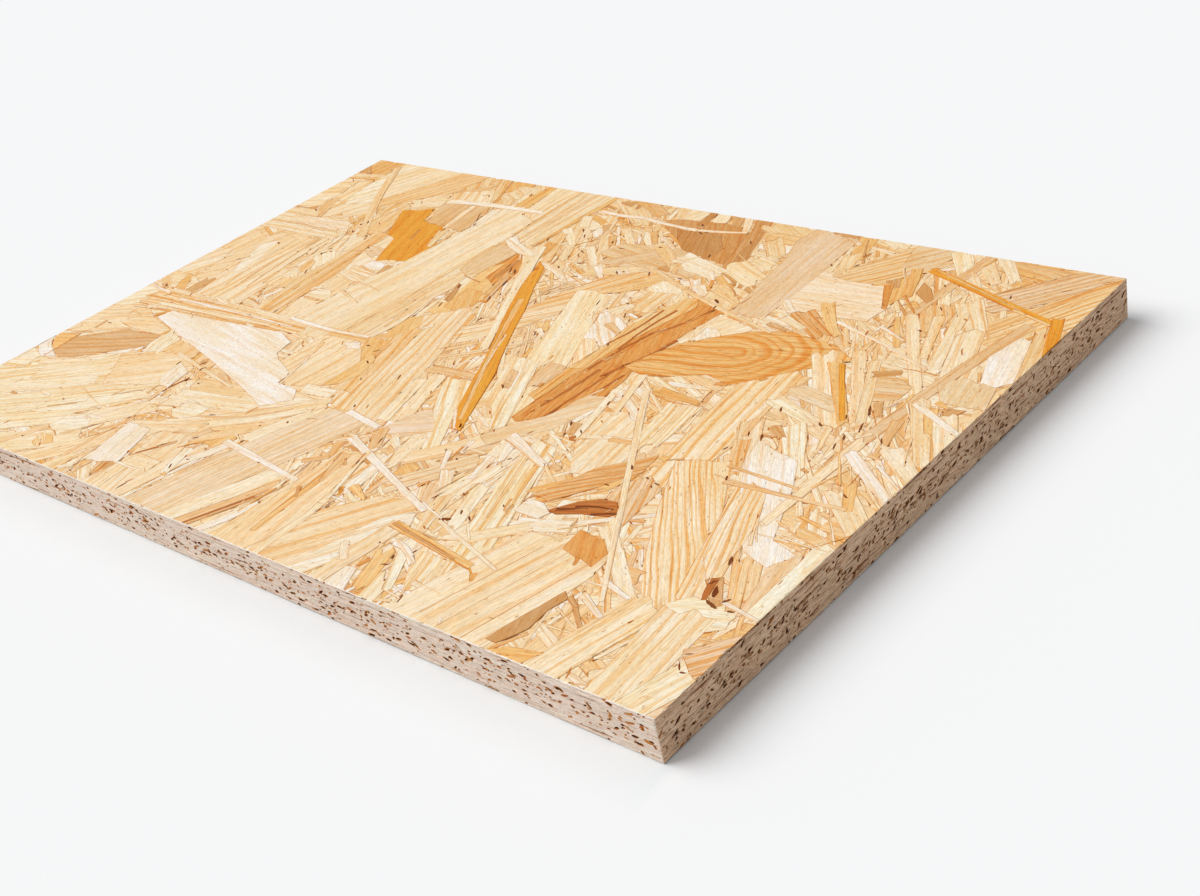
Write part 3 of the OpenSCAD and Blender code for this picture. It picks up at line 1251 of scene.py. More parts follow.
    shape("umber", -10, 4, 0.4, 28, 94, 34, 98, 38, 95, 35, 90, 28, 91),
    shape("umber", -60, 4, 0.7, -3, 136, 6, 139, 22, 141, 42, 142, 52, 128, 60, 104, 48, 107, 36, 108, 27,
          113, 14, 122, 3, 128),
    shape("walnut", -62, 4, 0.6, 10, 129, 20, 131, 34, 132, 46, 118, 44, 108, 36, 108, 26, 112, 16, 121),
    strip("walnut", 16, 152, 19, 136, 4, 5),
    strip("umber", 30, 153, 36, 140, 7, 5),
    shape("umber", -68, 4, 0.8, 40, 153, 53, 153, 60, 128, 66, 102, 57, 100, 52, 118, 46, 140),
    shape("walnut", -68, 4, 0.5, 54, 134, 58, 132, 65, 104, 60, 103, 55, 118),
    strip("cream", 52, 153, 63, 116, 3.5, 2.5),
    strip("white", 36, 152, 45, 136, 5, 3.4),
    strip("white", 9, 119, 21, 110, 3, 2),
    strip("straw", 55, 152, 78, 138, 22, 16, ring=4),
    strip("flax", 60, 136, 76, 136, 9, 8),
    strip("white", 60, 128, 77, 127, 9, 8, ring=4),
    strip("straw", 62, 121, 78, 118, 6, 5),
    strip("cream", 66, 114, 80, 110, 9, 8),
    strip("straw", 60, 106, 82, 96, 14, 12),
    strip("cream", 30, 104, 62, 96, 14, 10, ring=4, strength=0.5),
    strip("straw", 14, 112, 40, 92, 8, 6),
    strip("white", 29, 102, 37, 100, 4, 3),
    strip("flax", 34, 98, 37, 92, 5, 4),
    strip("white", 54, 98, 64, 88, 3, 2),
    strip("white", 52, 90, 60, 80, 5, 4),
    strip("white", 10, 84, 20, 78, 3, 2),
    strip("white", 14, 86, 22, 80, 2, 1.6),
    strip("white", -2, 84, 10, 74, 4, 2),
    strip("straw", 50, 78, 66, 60, 12, 9, ring=5),
    shape("flax", 52, 4.5, 1.0, -6, 32, -2, 52, 10, 78, 25, 87, 46, 86, 54, 78, 35, 72, 20, 62, 8, 46, 2,
          34),
    strip("honey", 42, 84, 30, 72, 4, 5),
    strip("honey", 30, 80, 16, 66, 2, 1.6),
    shape("cream", -40, 5, 0.3, 40, 84, 54, 80, 56, 70, 44, 66, 36, 74),
    shape("straw", -86, 5, 0.6, 40, 72, 54, 74, 54, 56, 46, 54, 40, 60),
    shape("cream", 45, 5, 0.9, -22, 14, -6, 34, 6, 46, 12, 52, 14, 40, 4, 22, -8, 6, -16, 0),
    shape("straw", -65, 4, 0.35, 6, 61, 14, 64, 26, 62, 35, 42, 45, 20, 52, 0, 60, -24, 55, -44, 42, -36,
          30, -2, 18, 30),
    shape("straw", 70, 5, 0.5, 27, 52, 34, 54, 38, 60, 44, 58, 42, 50, 50, 46, 50, 40, 38, 36, 30, 44),
    shape("white", -45, 3.5, 0.6, 31, 51, 44, 47, 53, 42, 54, 24, 48, 24, 40, 27),
    strip("rose", 42, 41, 52, 36, 4, 3),
    strip("white", 44, 52, 51, 50, 2.4, 2),
    shape("straw", -50, 4, 0.5, 41, 27, 46, 28, 54, 22, 52, 6, 46, 14),
    strip("white", 15, 26, 21, 22, 3, 2),
    strip("white", -31, 78, -4, 64, 6, 3, bow=2),
    strip("white", 12, 118, 24, 110, 3.5, 2),
    shape("honey", -75, 3, 0.3, -45, 97, -37, 96, -35, 90, -37, 80, -41, 86),
    strip("chip", -42, 97, -38, 84, 7, 5),
    # right of centre
    strip("straw", 62, 134, 74, 120, 10, 8),
    shape("straw", -75, 5, 0.5, 64, 88, 80, 88, 88, 84, 86, 70, 72, 70, 66, 77),
    strip("flax", 67, 86, 84, 78, 8, 6),
    strip("white", 58, 84, 66, 78, 6, 4),
    shape("white", 1, 3.2, 0.5, 100, 115, 122, 116, 142, 113, 149, 96, 147, 82, 125, 80, 105, 79, 100, 95),
    shape("flax", 52, 4, 0.9, 109, 112, 115, 124, 125, 140, 135, 153, 158, 153, 150, 132, 142, 118, 132,
          112, 120, 110),
    shape("dun", 52, 5, 0.6, 128, 153, 152, 153, 148, 134, 140, 122, 132, 134),
    strip("honey", 104, 150, 110, 128, 9, 7),
    strip("straw", 114, 152, 124, 146, 9, 8),
    strip("white", 96, 146, 104, 142, 4, 3),
    strip("cream", 102, 140, 104, 132, 3, 2.4),
    strip("umber", 80, 153, 98, 149, 7, 5),
    strip("straw", 106, 134, 112, 116, 8, 6),
    shape("clay", -86, 9, 0.35, 76, 150, 101, 146, 103, 120, 104, 96, 104, 68, 87, 69, 84, 90, 80, 116,
          74, 136),
    strip("cream", 80, 66, 88, 42, 7, 6),
    shape("straw", 60, 4, 0.4, 86, 68, 104, 66, 106, 58, 98, 50, 88, 42, 84, 48),
    shape("straw", -75, 5, 0.4, 58, 70, 66, 77, 78, 74, 82, 66, 80, 50, 70, 56),
    shape("white", -50, 5, 0.2, 86, 54, 92, 54, 97, 50, 90, 43, 86, 42),
    strip("cream", 104, 66, 130, 74, 9, 7),
    strip("white", 104, 70, 124, 68, 5, 3),
    strip("white", 104, 86, 117, 76, 4, 2.4, bow=-1),
    strip("chestnut", 117, 79, 136, 66, 11, 9, ring=3, strength=1.0),
    strip("cream", 108, 76, 124, 67, 5, 3),
    strip("white", 104, 62, 121, 61, 3, 2),
    strip("umber", 109, 66, 120, 64, 3, 2.4),
    shape("cream", -83, 5.5, 1.0, 126, 34, 138, 38, 152, 36, 151, 10, 154, -20, 150, -50, 136, -52, 132,
          -20, 128, 10),
    shape("chip", -66, 2.6, 0.7, 61, 72, 66, 75, 80, 71, 85, 68, 81, 50, 80, 33, 77, 22, 82, 6, 83, -8,
          77, -22, 72, -37, 66, -34, 61, -38, 57, -36, 57, -20, 51, -20, 52, 4, 54, 24, 52, 42, 56, 58),
    shape("honey", -84, 3, 0.9, 56, 58, 61, 72, 66, 75, 71, 66, 67, 44, 65, 20, 61, 0, 52, 4, 54, 24, 52,
          42),
    shape("chip", -78, 3, 0.7, 71, 70, 77, 70, 73, 50, 66, 26, 62, 6, 60, -36, 57, -36, 58, -8, 61, 30,
          66, 52),
    shape("honey", -86, 2.4, 1.2, 52, 4, 58, 6, 58, -16, 57, -22, 51, -20),
    shape("chip", -80, 2.6, 0.8, 66, 12, 76, 20, 82, 6, 83, -8, 77, -22, 72, -37, 66, -34, 62, -38, 62,
          -14),
    strip("bark", 58, 60, 54, 26, 1.4, 1.0, bow=1.4),
    strip("bark", 64, 62, 62, 24, 1.4, 1.0, bow=-1.6),
    strip("bark", 79, 68, 66, 40, 1.8, 1.4, bow=2),
    strip("bark", 67, 42, 61, 6, 1.4, 1.6, bow=-1),
    strip("bark", 81, 40, 70, 4, 2.0, 1.4, bow=1.6),
    strip("bark", 66, 8, 62, -30, 1.8, 1.2, bow=0.6),
    strip("bark", 73, 16, 70, -30, 1.2, 1.4),
    strip("bark", 79, 8, 76, -20, 1.2, 1.2),
    strip("cream", 96, 18, 120, 6, 5, 4, ring=3),
    strip("white", 100, 10, 124, 14, 4, 2),
    strip("cream", 86, 14, 112, 4, 5, 3),
    strip("flax", 100, 20, 124, 14, 5, 4, ring=2),
    strip("honey", 100, 4, 124, 2, 6, 3),
    strip("straw", 84, 8, 92, -4, 5, 3),
    strip("cream", 88, 2, 84, -30, 4, 3),
    # cathedral grain
    shape("honey", 12, 4.0, 1.25, 74, 14, 78, 26, 84, 38, 92, 46, 106, 58, 122, 64, 146, 61, 159, 53, 148,
          42, 136, 30, 125, 18, 112, 22, 98, 15, 86, 11, rough=0.6, cone=(-4.0, 4.0, 0.8)),
    # top right
    strip("tan", 174, 146, 204, 142, 13, 12, ring=3, strength=0.7),
    strip("honey", 186, 150, 204, 151, 5, 4),
    strip("honey", 176, 140, 198, 138, 4, 3, bow=1),
    shape("clay", 50, 3, 1.0, 176, 112, 186, 124, 200, 142, 212, 153, 228, 153, 228, 140, 208, 122, 190,
          106),
    shape("straw", 61, 2.5, 1.3, 190, 88, 196, 104, 208, 124, 222, 146, 228, 150, 228, 110, 214, 92, 204,
          80),
    strip("cream", 150, 150, 172, 120, 10, 8, ring=4, strength=0.5),
    strip("straw", 158, 153, 178, 128, 8, 6),
    strip("cream", 168, 153, 186, 132, 7, 5, ring=3),
    strip("straw", 146, 124, 160, 96, 8, 6),
    strip("cream", 156, 128, 172, 98, 6, 5),
    strip("cream", 166, 130, 184, 108, 7, 5),
    shape("tan", -60, 4, 0.8, 160, 100, 172, 106, 178, 94, 176, 80, 170, 82, 165, 92),
    shape("tan", -60, 4, 0.8, 163, 103, 168, 106, 176, 104, 178, 93, 173, 81, 168, 84, 165, 92),
    strip("straw", 176, 112, 196, 84, 12, 9, ring=4, strength=0.7),
    strip("rose", 165, 150, 160, 93, 5, 5),
    shape("honey", -66, 4, 0.5, 134, 116, 141, 122, 146, 128, 150, 112, 147, 96, 143, 102),
    shape("umber", -60, 4, 0.5, 134, 116, 139, 120, 143, 112, 138, 110),
    shape("umber", -50, 4, 0.5, 150, 120, 156, 116, 162, 108, 161, 104, 152, 110),
    strip("honey", 155, 102, 160, 98, 5, 4),
    strip("chip", 137, 114, 147, 94, 4.4, 2.4, ring=2),
    strip("cream", 161, 93, 198, 36, 6, 5),
    strip("cream", 180, 100, 193, 54, 6, 5, ring=3),
    strip("straw", 172, 96, 184, 64, 5, 4),
    strip("cream", 190, 90, 206, 44, 12, 10, ring=4, strength=0.5),
    shape("rose", 84, 4, 0.5, 206, 102, 212, 101, 207, 76, 203, 50, 200, 20, 197, -14, 191, -14, 194, 20,
          197, 50, 201, 76),
    shape("white", -76, 5, 0.2, 210, 92, 222, 89, 226, 75, 226, 62, 219, 53, 213, 56, 206, 74),
    shape("dun", -80, 5, 0.3, 205, 57, 221, 55, 225, 39, 207, 38, 200, 48),
    strip("straw", 218, 100, 229, 60, 12, 8),
    strip("cream", 112, 73, 126, 67, 5, 3),
    shape("dun", 10, 4, 0.7, 164, 44, 178, 50, 192, 44, 192, 34, 180, 27, 170, 32),
    strip("cream", 146, 54, 178, 8, 12, 10, ring=4, strength=0.6),
    strip("straw", 158, 60, 186, 14, 6, 5),
    strip("cream", 168, 56, 190, 10, 5, 4),
    strip("dun", 150, 26, 174, 21, 9, 8, ring=3, strength=0.5),
    strip("cream", 148, 16, 172, 8, 8, 6),
    strip("umber", 172, 46, 182, 52, 5, 4),
    strip("honey", 206, 38, 212, 36, 3, 2),
    shape("umber", 60, 4, 0.4, 213, 36, 219, 37, 217, 31, 211, 31),
    strip("umber", 186, 30, 192, 20, 4, 3),
    strip("cream", 200, 36, 224, -2, 8, 6),
    strip("honey", 206, 34, 215, 18, 6, 4),
    strip("tan", 200, 22, 206, -4, 5, 3),
    strip("cream", 214, 30, 230, 4, 10, 8, ring=4),
    strip("white", 199, 34, 229, 19, 3.6, 2.6),
    # lower left
    shape("straw", 10, 5, 0.5, -228, 4, -205, 2, -190, -5, -195, -18, -212, -14, -228, -10),
    shape("honey", 60, 4, 0.5, -214, 4, -209, 3, -194, -17, -198, -24, -206, -12),
    strip("flax", -226, -2, -212, -12, 5, 4),
    strip("umber", -217, -10, -211, -13, 3, 2),
    strip("white", -216, -15, -204, -15, 3, 2),
    strip("umber", -195, 4, -194, -15, 7, 6),
    shape("straw", 35, 6, 0.6, -228, -14, -205, -16, -180, -20, -170, -28, -195, -36, -228, -40),
    strip("flax", -228, -42, -200, -28, 2.4, 1.6),
    shape("flax", 60, 4, 0.4, -206, -17, -192, -18, -188, -30, -200, -34, -208, -26),
    shape("flax", 30, 6, 0.6, -228, -38, -200, -30, -185, -40, -205, -60, -228, -66),
    strip("cream", -228, -48, -204, -38, 8, 6),
    strip("straw", -222, -60, -186, -44, 12, 9, ring=4),
    strip("umber", -211, -50, -210, -58, 2, 2),
    strip("flax", -204, -40, -184, -46, 6, 5),
    shape("straw", 15, 5, 0.5, -196, -38, -186, -38, -166, -43, -164, -50, -190, -50, -202, -48),
    strip("flax", -212, -22, -96, -16, 15, 11, ring=3, strength=1.2),
    strip("honey", -196, -31, -108, -22, 2.0, 1.6),
    strip("straw", -200, -26, -118, -20, 3.0, 2.4),
    strip("cream", -206, -13, -60, -12, 4, 4),
    strip("white", -192, -18.5, -112, -17, 1.8, 1.4),
    strip("white", -172, -10, -160, -13, 4, 2),
    strip("white", -118, -17, -105, -17, 2.2, 1.6),
    shape("straw", 32, 3.6, 0.7, -205, -128, -226, -108, -222, -88, -195, -88, -180, -74, -160, -64, -140,
          -56, -120, -64, -122, -84, -140, -100, -160, -122, -180, -140),
    shape("straw", 36, 3.2, 0.5, -200, -90, -176, -78, -168, -66, -150, -62, -128, -84, -150, -98, -172,
          -112, -196, -104),
    shape("straw", 36, 3, 0.5, -170, -70, -150, -60, -130, -56, -118, -66, -128, -84, -150, -94),
    strip("straw", -206, -92, -180, -80, 5, 4, ring=3),
    strip("straw", -206, -120, -160, -92, 12, 9, ring=3),
    strip("cream", -224, -88, -212, -98, 9, 7),
    strip("honey", -222, -100, -208, -97, 4, 3),
    strip("straw", -160, -124, -118, -88, 14, 10, ring=3),
    strip("straw", -176, -128, -146, -104, 6, 5, ring=3),
    strip("straw", -178, -142, -128, -112, 16, 12, ring=4),
    strip("straw", -138, -120, -112, -96, 10, 8, ring=3),
    strip("cream", -128, -118, -104, -92, 12, 10, ring=4),
    strip("straw", -160, -152, -118, -128, 18, 14, ring=4),
    shape("cream", 30, 4, 0.4, -142, -118, -132, -112, -122, -120, -130, -132, -142, -128),
    strip("cream", -132, -114, -122, -113, 3, 2),
    strip("tan", -142, -128, -156, -152, 5, 4),
    shape("honey", 20, 3, 0.4, -140, -134, -132, -132, -126, -136, -132, -142, -137, -140),
    strip("straw", -139, -134, -131, -138, 4, 3),
    strip("flax", -128, -152, -100, -118, 12, 10),
    strip("straw", -108, -152, -106, -104, 8, 7, ring=2.2, strength=1.2),
    strip("straw", -112, -152, -104, -134, 6, 5),
    shape("flax", 80, 3, 0.7, -152, -48, -138, -50, -112, -56, -110, -62, -140, -59, -152, -60),
    strip("honey", -128, -53, -126, -60, 4, 3),
    strip("umber", -120, -56, -117, -61, 4, 3),
    shape("cream", -70, 5, 0.4, -165, -44, -152, -47, -151, -62, -160, -64, -165, -56),
    strip("honey", -166, -44, -167, -52, 2.6, 1.6),
    strip("flax", -168, -70, -152, -62, 4, 3),
    strip("white", -166, -64, -164, -60, 3, 2),
    shape("honey", 25, 4, 0.5, -224, -68, -214, -66, -209, -70, -212, -82, -222, -74),
    shape("umber", 25, 4, 0.6, -212, -68, -202, -60, -189, -51, -177, -50, -166, -49, -164, -59,
          -173, -67, -186, -77, -200, -86, -211, -81, rough=0.8),
    shape("white", 30, 5, 0.2, -224, -73, -214, -80, -202, -86, -213, -89, -224, -82),
    shape("straw", 20, 4, 0.4, -224, -84, -212, -88, -210, -98, -224, -100),
    # lower centre
    strip("honey", -80, -14, -46, -12, 4, 3, ring=3),
    shape("honey", -60, 4, 0.5, -58, -10, -46, -8, -42, -20, -36, -27, -42, -30, -48, -24, -54, -18),
    shape("honey", 85, 4, 0.4, -44, -21, -38, -24, -34, -36, -37, -46, -44, -51),
    shape("straw", 30, 7, 0.5, -110, -70, -82, -72, -60, -62, -30, -56, -24, -68, -50, -84, -78, -98,
          -104, -96),
    shape("flax", 10, 5, 0.4, -108, -60, -84, -62, -72, -72, -82, -84, -98, -82, -106, -76),
    strip("rose", -104, -62, -88, -68, 5, 4),
    strip("straw", -106, -86, -60, -76, 14, 10, ring=6),
    shape("cream", 10, 5, 0.3, -94, -84, -78, -86, -76, -96, -90, -98, -96, -94),
    strip("straw", -94, -108, -34, -64, 15, 11, ring=6, bow=-3),
    shape("honey", 80, 5, 0.4, -62, -94, -48, -92, -44, -98, -46, -108, -56, -106, -64, -112),
    strip("flax", -78, -110, -28, -72, 12, 9, ring=5, bow=-3),
    strip("tan", -76, -92, -40, -70, 1.5, 0.8, bow=-3.5),
    strip("tan", -57, -76, -58, -82, 1.6, 0.8),
    strip("straw", -104, -112, -66, -98, 12, 8),
    strip("rose", -62, -97, -65, -110, 4, 3),
    shape("straw", -75, 5, 0.5, -84, -108, -66, -104, -58, -118, -60, -152, -84, -152, -80, -134),
    strip("flax", -78, -118, -74, -152, 9, 7),
    shape("cream", 5, 5, 0.3, -77, -124, -61, -124, -60, -133, -78, -133),
    shape("straw", 75, 5, 0.4, -60, -116, -52, -108, -46, -112, -50, -124, -56, -152, -62, -152),
    strip("cream", -58, -112, -52, -130, 5, 4),
    shape("cream", 70, 5, 0.3, -46, -102, -41, -103, -44, -112, -52, -124, -54, -118),
    shape("dun", 74, 4, 0.45, -32, -68, -22, -62, 2, -62, -4, -90, -12, -112, -26, -153, -54, -153, -46,
          -128, -38, -100, rough=0.8),
    strip("straw", -40, -96, -28, -66, 8, 6, ring=5),
    shape("cream", 68, 5, 0.4, -10, -108, 3, -107, 2, -114, -8, -130, -18, -150, -29, -152, -22, -136),
    strip("tan", 4, -112, -16, -152, 6, 5),
    strip("umber", 3, -121, -12, -152, 3.6, 3),
    strip("bark", 1, -124, -13, -152, 1.2, 0.9),
    strip("cream", 8, -126, -3, -152, 7, 5),
    shape("cream", 5, 5, 0.3, -52, -52, -34, -50, -32, -57, -49, -59),
    strip("flax", -56, -62, -34, -59, 3, 2.4),
    shape("white", 0, 4, 0.2, -66, -18, -58, -15, -53, -20, -60, -22),
    # lower right of centre
    strip("cream", 2, -24, 14, -58, 9, 7, ring=4),
    strip("straw", -4, -28, 6, -60, 7, 6),
    strip("tan", -8, -20, 21, -17, 6, 5, ring=3, strength=0.6),
    shape("cream", -56, 6, 0.8, 6, -22, 21, -21, 26, -32, 46, -66, 40, -70, 30, -62, 18, -44),
    shape("clay", 28, 6, 0.4, 19, -44, 29, -52, 34, -58, 25, -66, 8, -68, 13, -57),
    strip("straw", 30, -74, 34, -104, 8, 6, ring=4),
    strip("cream", 30, -62, 42, -80, 8, 6),
    shape("straw", -62, 4.5, 0.6, 20, 4, 32, 3, 40, -14, 54, -38, 64, -48, 54, -51, 44, -40, 30, -18),
    shape("cream", -62, 5, 0.8, 36, 4, 44, -10, 62, -46, 57, -49, 46, -32, 33, -6),
    shape("rose", -80, 4, 0.4, 40, 5, 51, 4, 51, -10, 46, -16, 42, -8),
    shape("rose", -55, 3, 0.5, 29, -6, 34, -7, 40, -19, 36, -20),
    strip("umber", 35, -17, 38, -20, 3, 2),
    shape("tan", -40, 4, 0.3, 38, -33, 44, -34, 50, -40, 46, -41, 41, -37),
    strip("white", 45, -42, 53, -46, 3.4, 2),
    shape("straw", -84, 6, 0.5, 8, -82, 22, -83, 29, -100, 36, -126, 38, -153, 5, -153, 7, -120, rough=0.8),
    shape("flax", -84, 6, 0.4, 9, -83, 20, -83, 26, -98, 31, -124, 30, -142, 26, -153, 13, -153, 9, -128,
          rough=0.9),
    strip("honey", 15, -90, 20, -140, 5, 3, ring=2.4, strength=1.0),
    strip("tan", 12, -85, 18, -104, 6, 3, ring=3),
    shape("straw", 56, 8, 0.7, 35, -153, 34, -118, 50, -101, 66, -96, 73, -103, 76, -116, 66, -134, 60,
          -153),
    shape("cream", 56, 7, 0.6, 50, -153, 62, -110, 72, -103, 77, -112, 72, -128, 60, -153),
    strip("honey", 34, -101, 47, -106, 5, 1.5),
    strip("amber", 30, -103, 33, -108, 2.5, 1.2),
    shape("honey", -20, 4, 0.4, 40, -76, 50, -77, 51, -86, 42, -88),
    strip("dun", 68, -66, 46, -96, 12, 10, ring=3, strength=0.6),
    strip("rose", 64, -84, 70, -96, 7, 5),
    strip("rose", 39, -73, 53, -80, 4, 3, ring=2, strength=0.8),
    strip("cream", 76, -66, 72, -92, 8, 6),
    strip("straw", 80, -64, 78, -90, 6, 5, ring=3),
    strip("cream", 82, -78, 92, -104, 8, 6, ring=4),
    strip("straw", 74, -90, 84, -116, 7, 5),
    strip("straw", 72, -111, 68, -154, 9, 8, ring=4),
    strip("white", 61, -76, 69, -85, 6, 5),
    strip("straw", 36, -80, 62, -48, 9, 11, ring=6, bow=-2),
    shape("dun", 50, 6, 0.4, 55, -52, 62, -56, 80, -36, 86, -16, 84, -8, 76, -10, 70, -30, 60, -42),
    strip("white", 52, -66, 58, -76, 3, 2),
    strip("white", 55, -56, 58, -66, 3, 2),
    shape("cream", -84, 5, 0.5, 90, -18, 100, -14, 122, -28, 122, -56, 108, -58, 96, -40, 94, -30),
    strip("straw", 96, -36, 122, -30, 3, 2, bow=2),
    strip("tan", 107, -33, 118, -31, 3.4, 2.4),
    strip("rose", 97, -56, 103, -58, 3.4, 3),
    shape("umber", -60, 3, 0.5, 84, -29, 89, -28, 92, -36, 87, -37),
    strip("cream", 84, -2, 93, -38, 4.4, 3),
    strip("shade", 91, -37, 94, -40, 3, 2),
    strip("white", 86, -3, 106, -15, 5, 4),
    strip("white", 91, 2, 103, -6, 4, 3),
    shape("white", -62, 4, 0.2, 66, -50, 75, -53, 78, -62, 74, -66, 68, -62),
    strip("white", 71, -62, 75, -78, 5, 3),
    shape("straw", -68, 5, 1.0, 80, -44, 92, -47, 99, -66, 110, -92, 124, -130, 113, -138, 100, -110, 84,
          -66),
    strip("honey", 93, -58, 112, -108, 1.3, 0.8),
    strip("flax", 84, -54, 100, -94, 1.6, 1.0),
    strip("honey", 106, -75, 130, -48, 13, 10, ring=3, strength=1.2),
    strip("honey", 126, -60, 134, -34, 8, 6),
    strip("cream", 118, 0, 122, -30, 16, 12, ring=2.2, strength=0.8),
    shape("white", 0, 5, 0.2, 105, -77, 113, -77, 120, -81, 118, -86, 106, -86),
    strip("cream", 112, -92, 134, -84, 9, 7),
    strip("cream", 96, -112, 120, -90, 8, 7),
    shape("straw", -70, 2.6, 0.8, 92, -120, 110, -119, 114, -134, 104, -140, 96, -130),
    strip("white", 104, -135, 113, -136, 3, 2.4),
    strip("straw", 92, -136, 96, -153, 9, 7),
    strip("honey", 80, -126, 88, -146, 8, 6),
    strip("cream", 86, -122, 98, -142, 5, 4),
    shape("white", -70, 5, 0.2, 73, -139, 78, -138, 84, -150, 84, -154, 72, -154),
    strip("white", 61, -129, 69, -137, 4, 3.4),
    strip("cream", 0, -86, 7, -88, 4, 3),
    strip("tan", 2, -80, 7, -90, 4, 3),
    strip("tan", -2, -97, 7, -90, 4, 3),
    strip("tan", 12, -66, 20, -78, 7, 5),
    strip("cream", 22, -66, 25, -80, 4, 3),
    strip("white", 22, -69, 30, -74, 5, 4),
    strip("tan", 24, -75, 31, -78, 5, 4),
    strip("straw", 32, -62, 36, -84, 8, 6),
    # lower right
    shape("straw", 74, 9, 0.5, 118, -94, 140, -88, 158, -90, 160, -104, 158, -120, 152, -153, 104, -153,
          108, -136, 114, -112),
    strip("cream", 166, 4, 186, -24, 10, 8, ring=3, strength=0.7),
    strip("straw", 150, 0, 172, -40, 10, 8, ring=4, strength=0.7),
    strip("tan", 154, -12, 166, -34, 7, 4, ring=2.4, strength=0.9),
    shape("cream", -53, 2.2, 1.1, 140, -34, 160, -26, 176, -52, 192, -84, 208, -110, 196, -122, 172, -92,
          154, -62),
    strip("straw", 178, -35, 199, -98, 16, 14, ring=2.4, strength=0.9),
    shape("rose", -70, 2.6, 1.2, 131, -54, 138, -46, 148, -52, 150, -76, 138, -70, 132, -64),
    strip("flax", 127, -40, 136, -40, 10, 8, ring=3),
    strip("tan", 162, -98, 176, -97, 10, 7),
    strip("cream", 142, -76, 186, -113, 8, 6, ring=3),
    shape("straw", 20, 5, 0.4, 192, -104, 202, -92, 216, -96, 218, -106, 206, -116, 194, -116),
    strip("straw", 193, -72, 200, -96, 7, 6, ring=3),
    strip("flax", 200, -72, 214, -98, 7, 5, ring=2.4, strength=0.9),
    strip("flax", 206, -74, 220, -98, 5, 4, ring=3),
    strip("umber", 198, -86, 208, -98, 6, 4, ring=2.4),
    strip("bark", 198, -86, 202, -97, 3.4, 2.0),
    strip("straw", 188, -106, 177, -154, 17, 15, ring=4, strength=0.7),
    strip("straw", 202, -104, 206, -154, 20, 18, ring=4, strength=0.6),
    strip("straw", 226, -112, 214, -154, 14, 12, ring=4, strength=0.6),
    shape("clay", 55, 3, 1.2, 212, -120, 226, -104, 230, -112, 224, -130, 218, -126),
    strip("flax", 207, -52, 230, -56, 6, 5),
    shape("flax", 0, 3, 0.6, 213, -39, 229, -38, 229, -50, 213, -48),
    strip("umber", 214, -92, 229, -88, 1.4, 0.8),
    shape("honey", 20, 4, 0.4, 150, -153, 160, -145, 173, -142, 168, -153),
    strip("amber", 106, -116, 120, -122, 1.3, 0.8, bow=1),
    strip("tan", 151, 2, 153, -10, 3, 2),
    strip("umber", 160, 0, 168, -6, 5, 3),
    strip("rose", 213, -64, 220, -99, 9, 7),
    strip("straw", 222, -56, 223, -98, 9, 8),
    strip("cream", 206, -26, 228, -46, 11, 9),
    strip("honey", 207, -20, 216, -36, 5, 4),
    shape("white", -58, 5, 0.3, 160, -10, 172, -14, 182, -16, 190, -30, 203, -60, 215, -64, 210, -74, 198,
          -70, 186, -58, 174, -40, 164, -24),
    shape("straw", -68, 2.4, 1.0, 175, -34, 184, -38, 192, -54, 196, -70, 196, -88, 187, -78, 181, -62,
          176, -48),
    strip("straw", 196, 5, 194, -54, 5.5, 4),
    strip("cream", 208, 4, 232, -16, 9, 7),
    strip("white", 196, -4, 229, -28, 5, 4.5),
    strip("white", 209, -7, 229, -20, 1.8, 1.4),
    strip("white", 208, -95, 229, -99, 2.2, 1.6),
    strip("tan", 165, -38, 215, -35, 2.6, 2.0),
    strip("tan", 160, -29, 193, -31, 1.8, 1.4),
    # chips and flakes lying uppermost
    shape("chestnut", 45, 2.6, 1.3, 105, -75, 116, -50, 132, -34, 134, -46, 124, -62, 114, -76),
    shape("walnut", -70, 3, 0.4, 157, -114, 161, -117, 159, -125, 160, -135, 155, -146, 150, -146, 153,
          -130),
    shape("chip", -60, 4, 0.4, 137, -84, 149, -85, 156, -91, 156, -100, 150, -98, 139, -96),
    shape("bark", 22, 3, 0.6, 117, -80, 124, -71, 131, -66, 138, -65, 144, -70, 141, -74, 130, -77, 122,
          -81),
    # dark strips in the gap tone, painted shade as well as dark wood
    strip("gap_dark_and_painted_shade", 120, -78.5, 131, -73, 2.0, 0.6),
    strip("gap_dark_and_painted_shade", 126, -74, 140, -69.5, 1.4, 0.8, bow=0.8),
    strip("gap_dark_and_painted_shade", 134, -75.5, 143, -71, 1.0, 1.2),
    strip("tan", 119, -146, 132, -98, 0.7, 0.5),
    strip("tan", 130, -148, 143, -96, 0.8, 0.5),
    strip("tan", 142, -150, 154, -98, 0.6, 0.5),
    strip("white", 164, -113, 178, -120, 3.5, 2.5),
    strip("white", 166, -104, 180, -108, 3, 2),
    shape("white", -75, 6, 0.2, -106, -109, -90, -109, -80, -133, -88, -136, -97, -139, -101, -128),
    strip("umber", -69, -111, -80, -127, 2.4, 1.6),
    strip("bark", -73, -117, -79, -125, 1.0, 0.6),
    shape("white", -10, 5, 0.25, -186, -37, -183, -29, -160, -28, -130, -25, -105, -23, -92, -28, -90,
          -38, -84, -42, -76, -45, -66, -50, -66, -57, -52, -58, -46, -65, -57, -75, -80, -67, -110, -58,
          -150, -47, -176, -40, rough=0.7),
    strip("straw", -72, -34, -64, -58, 1.8, 1.2),
    shape("white", -70, 5, 0.2, -130, -63, -118, -68, -115, -82, -122, -82, -129, -76, rough=0.7),
    strip("cream", -140, -58, -84, -69, 3.0, 1.6),
    strip("bark", -113, -71, -115, -82, 1.2, 0.8),
    strip("honey", 69, -112, 117, -119, 4.6, 3.6, ring=2.2, strength=1.2),
    strip("umber", 69, -112, 108, -118.5, 1.3, 1.0),
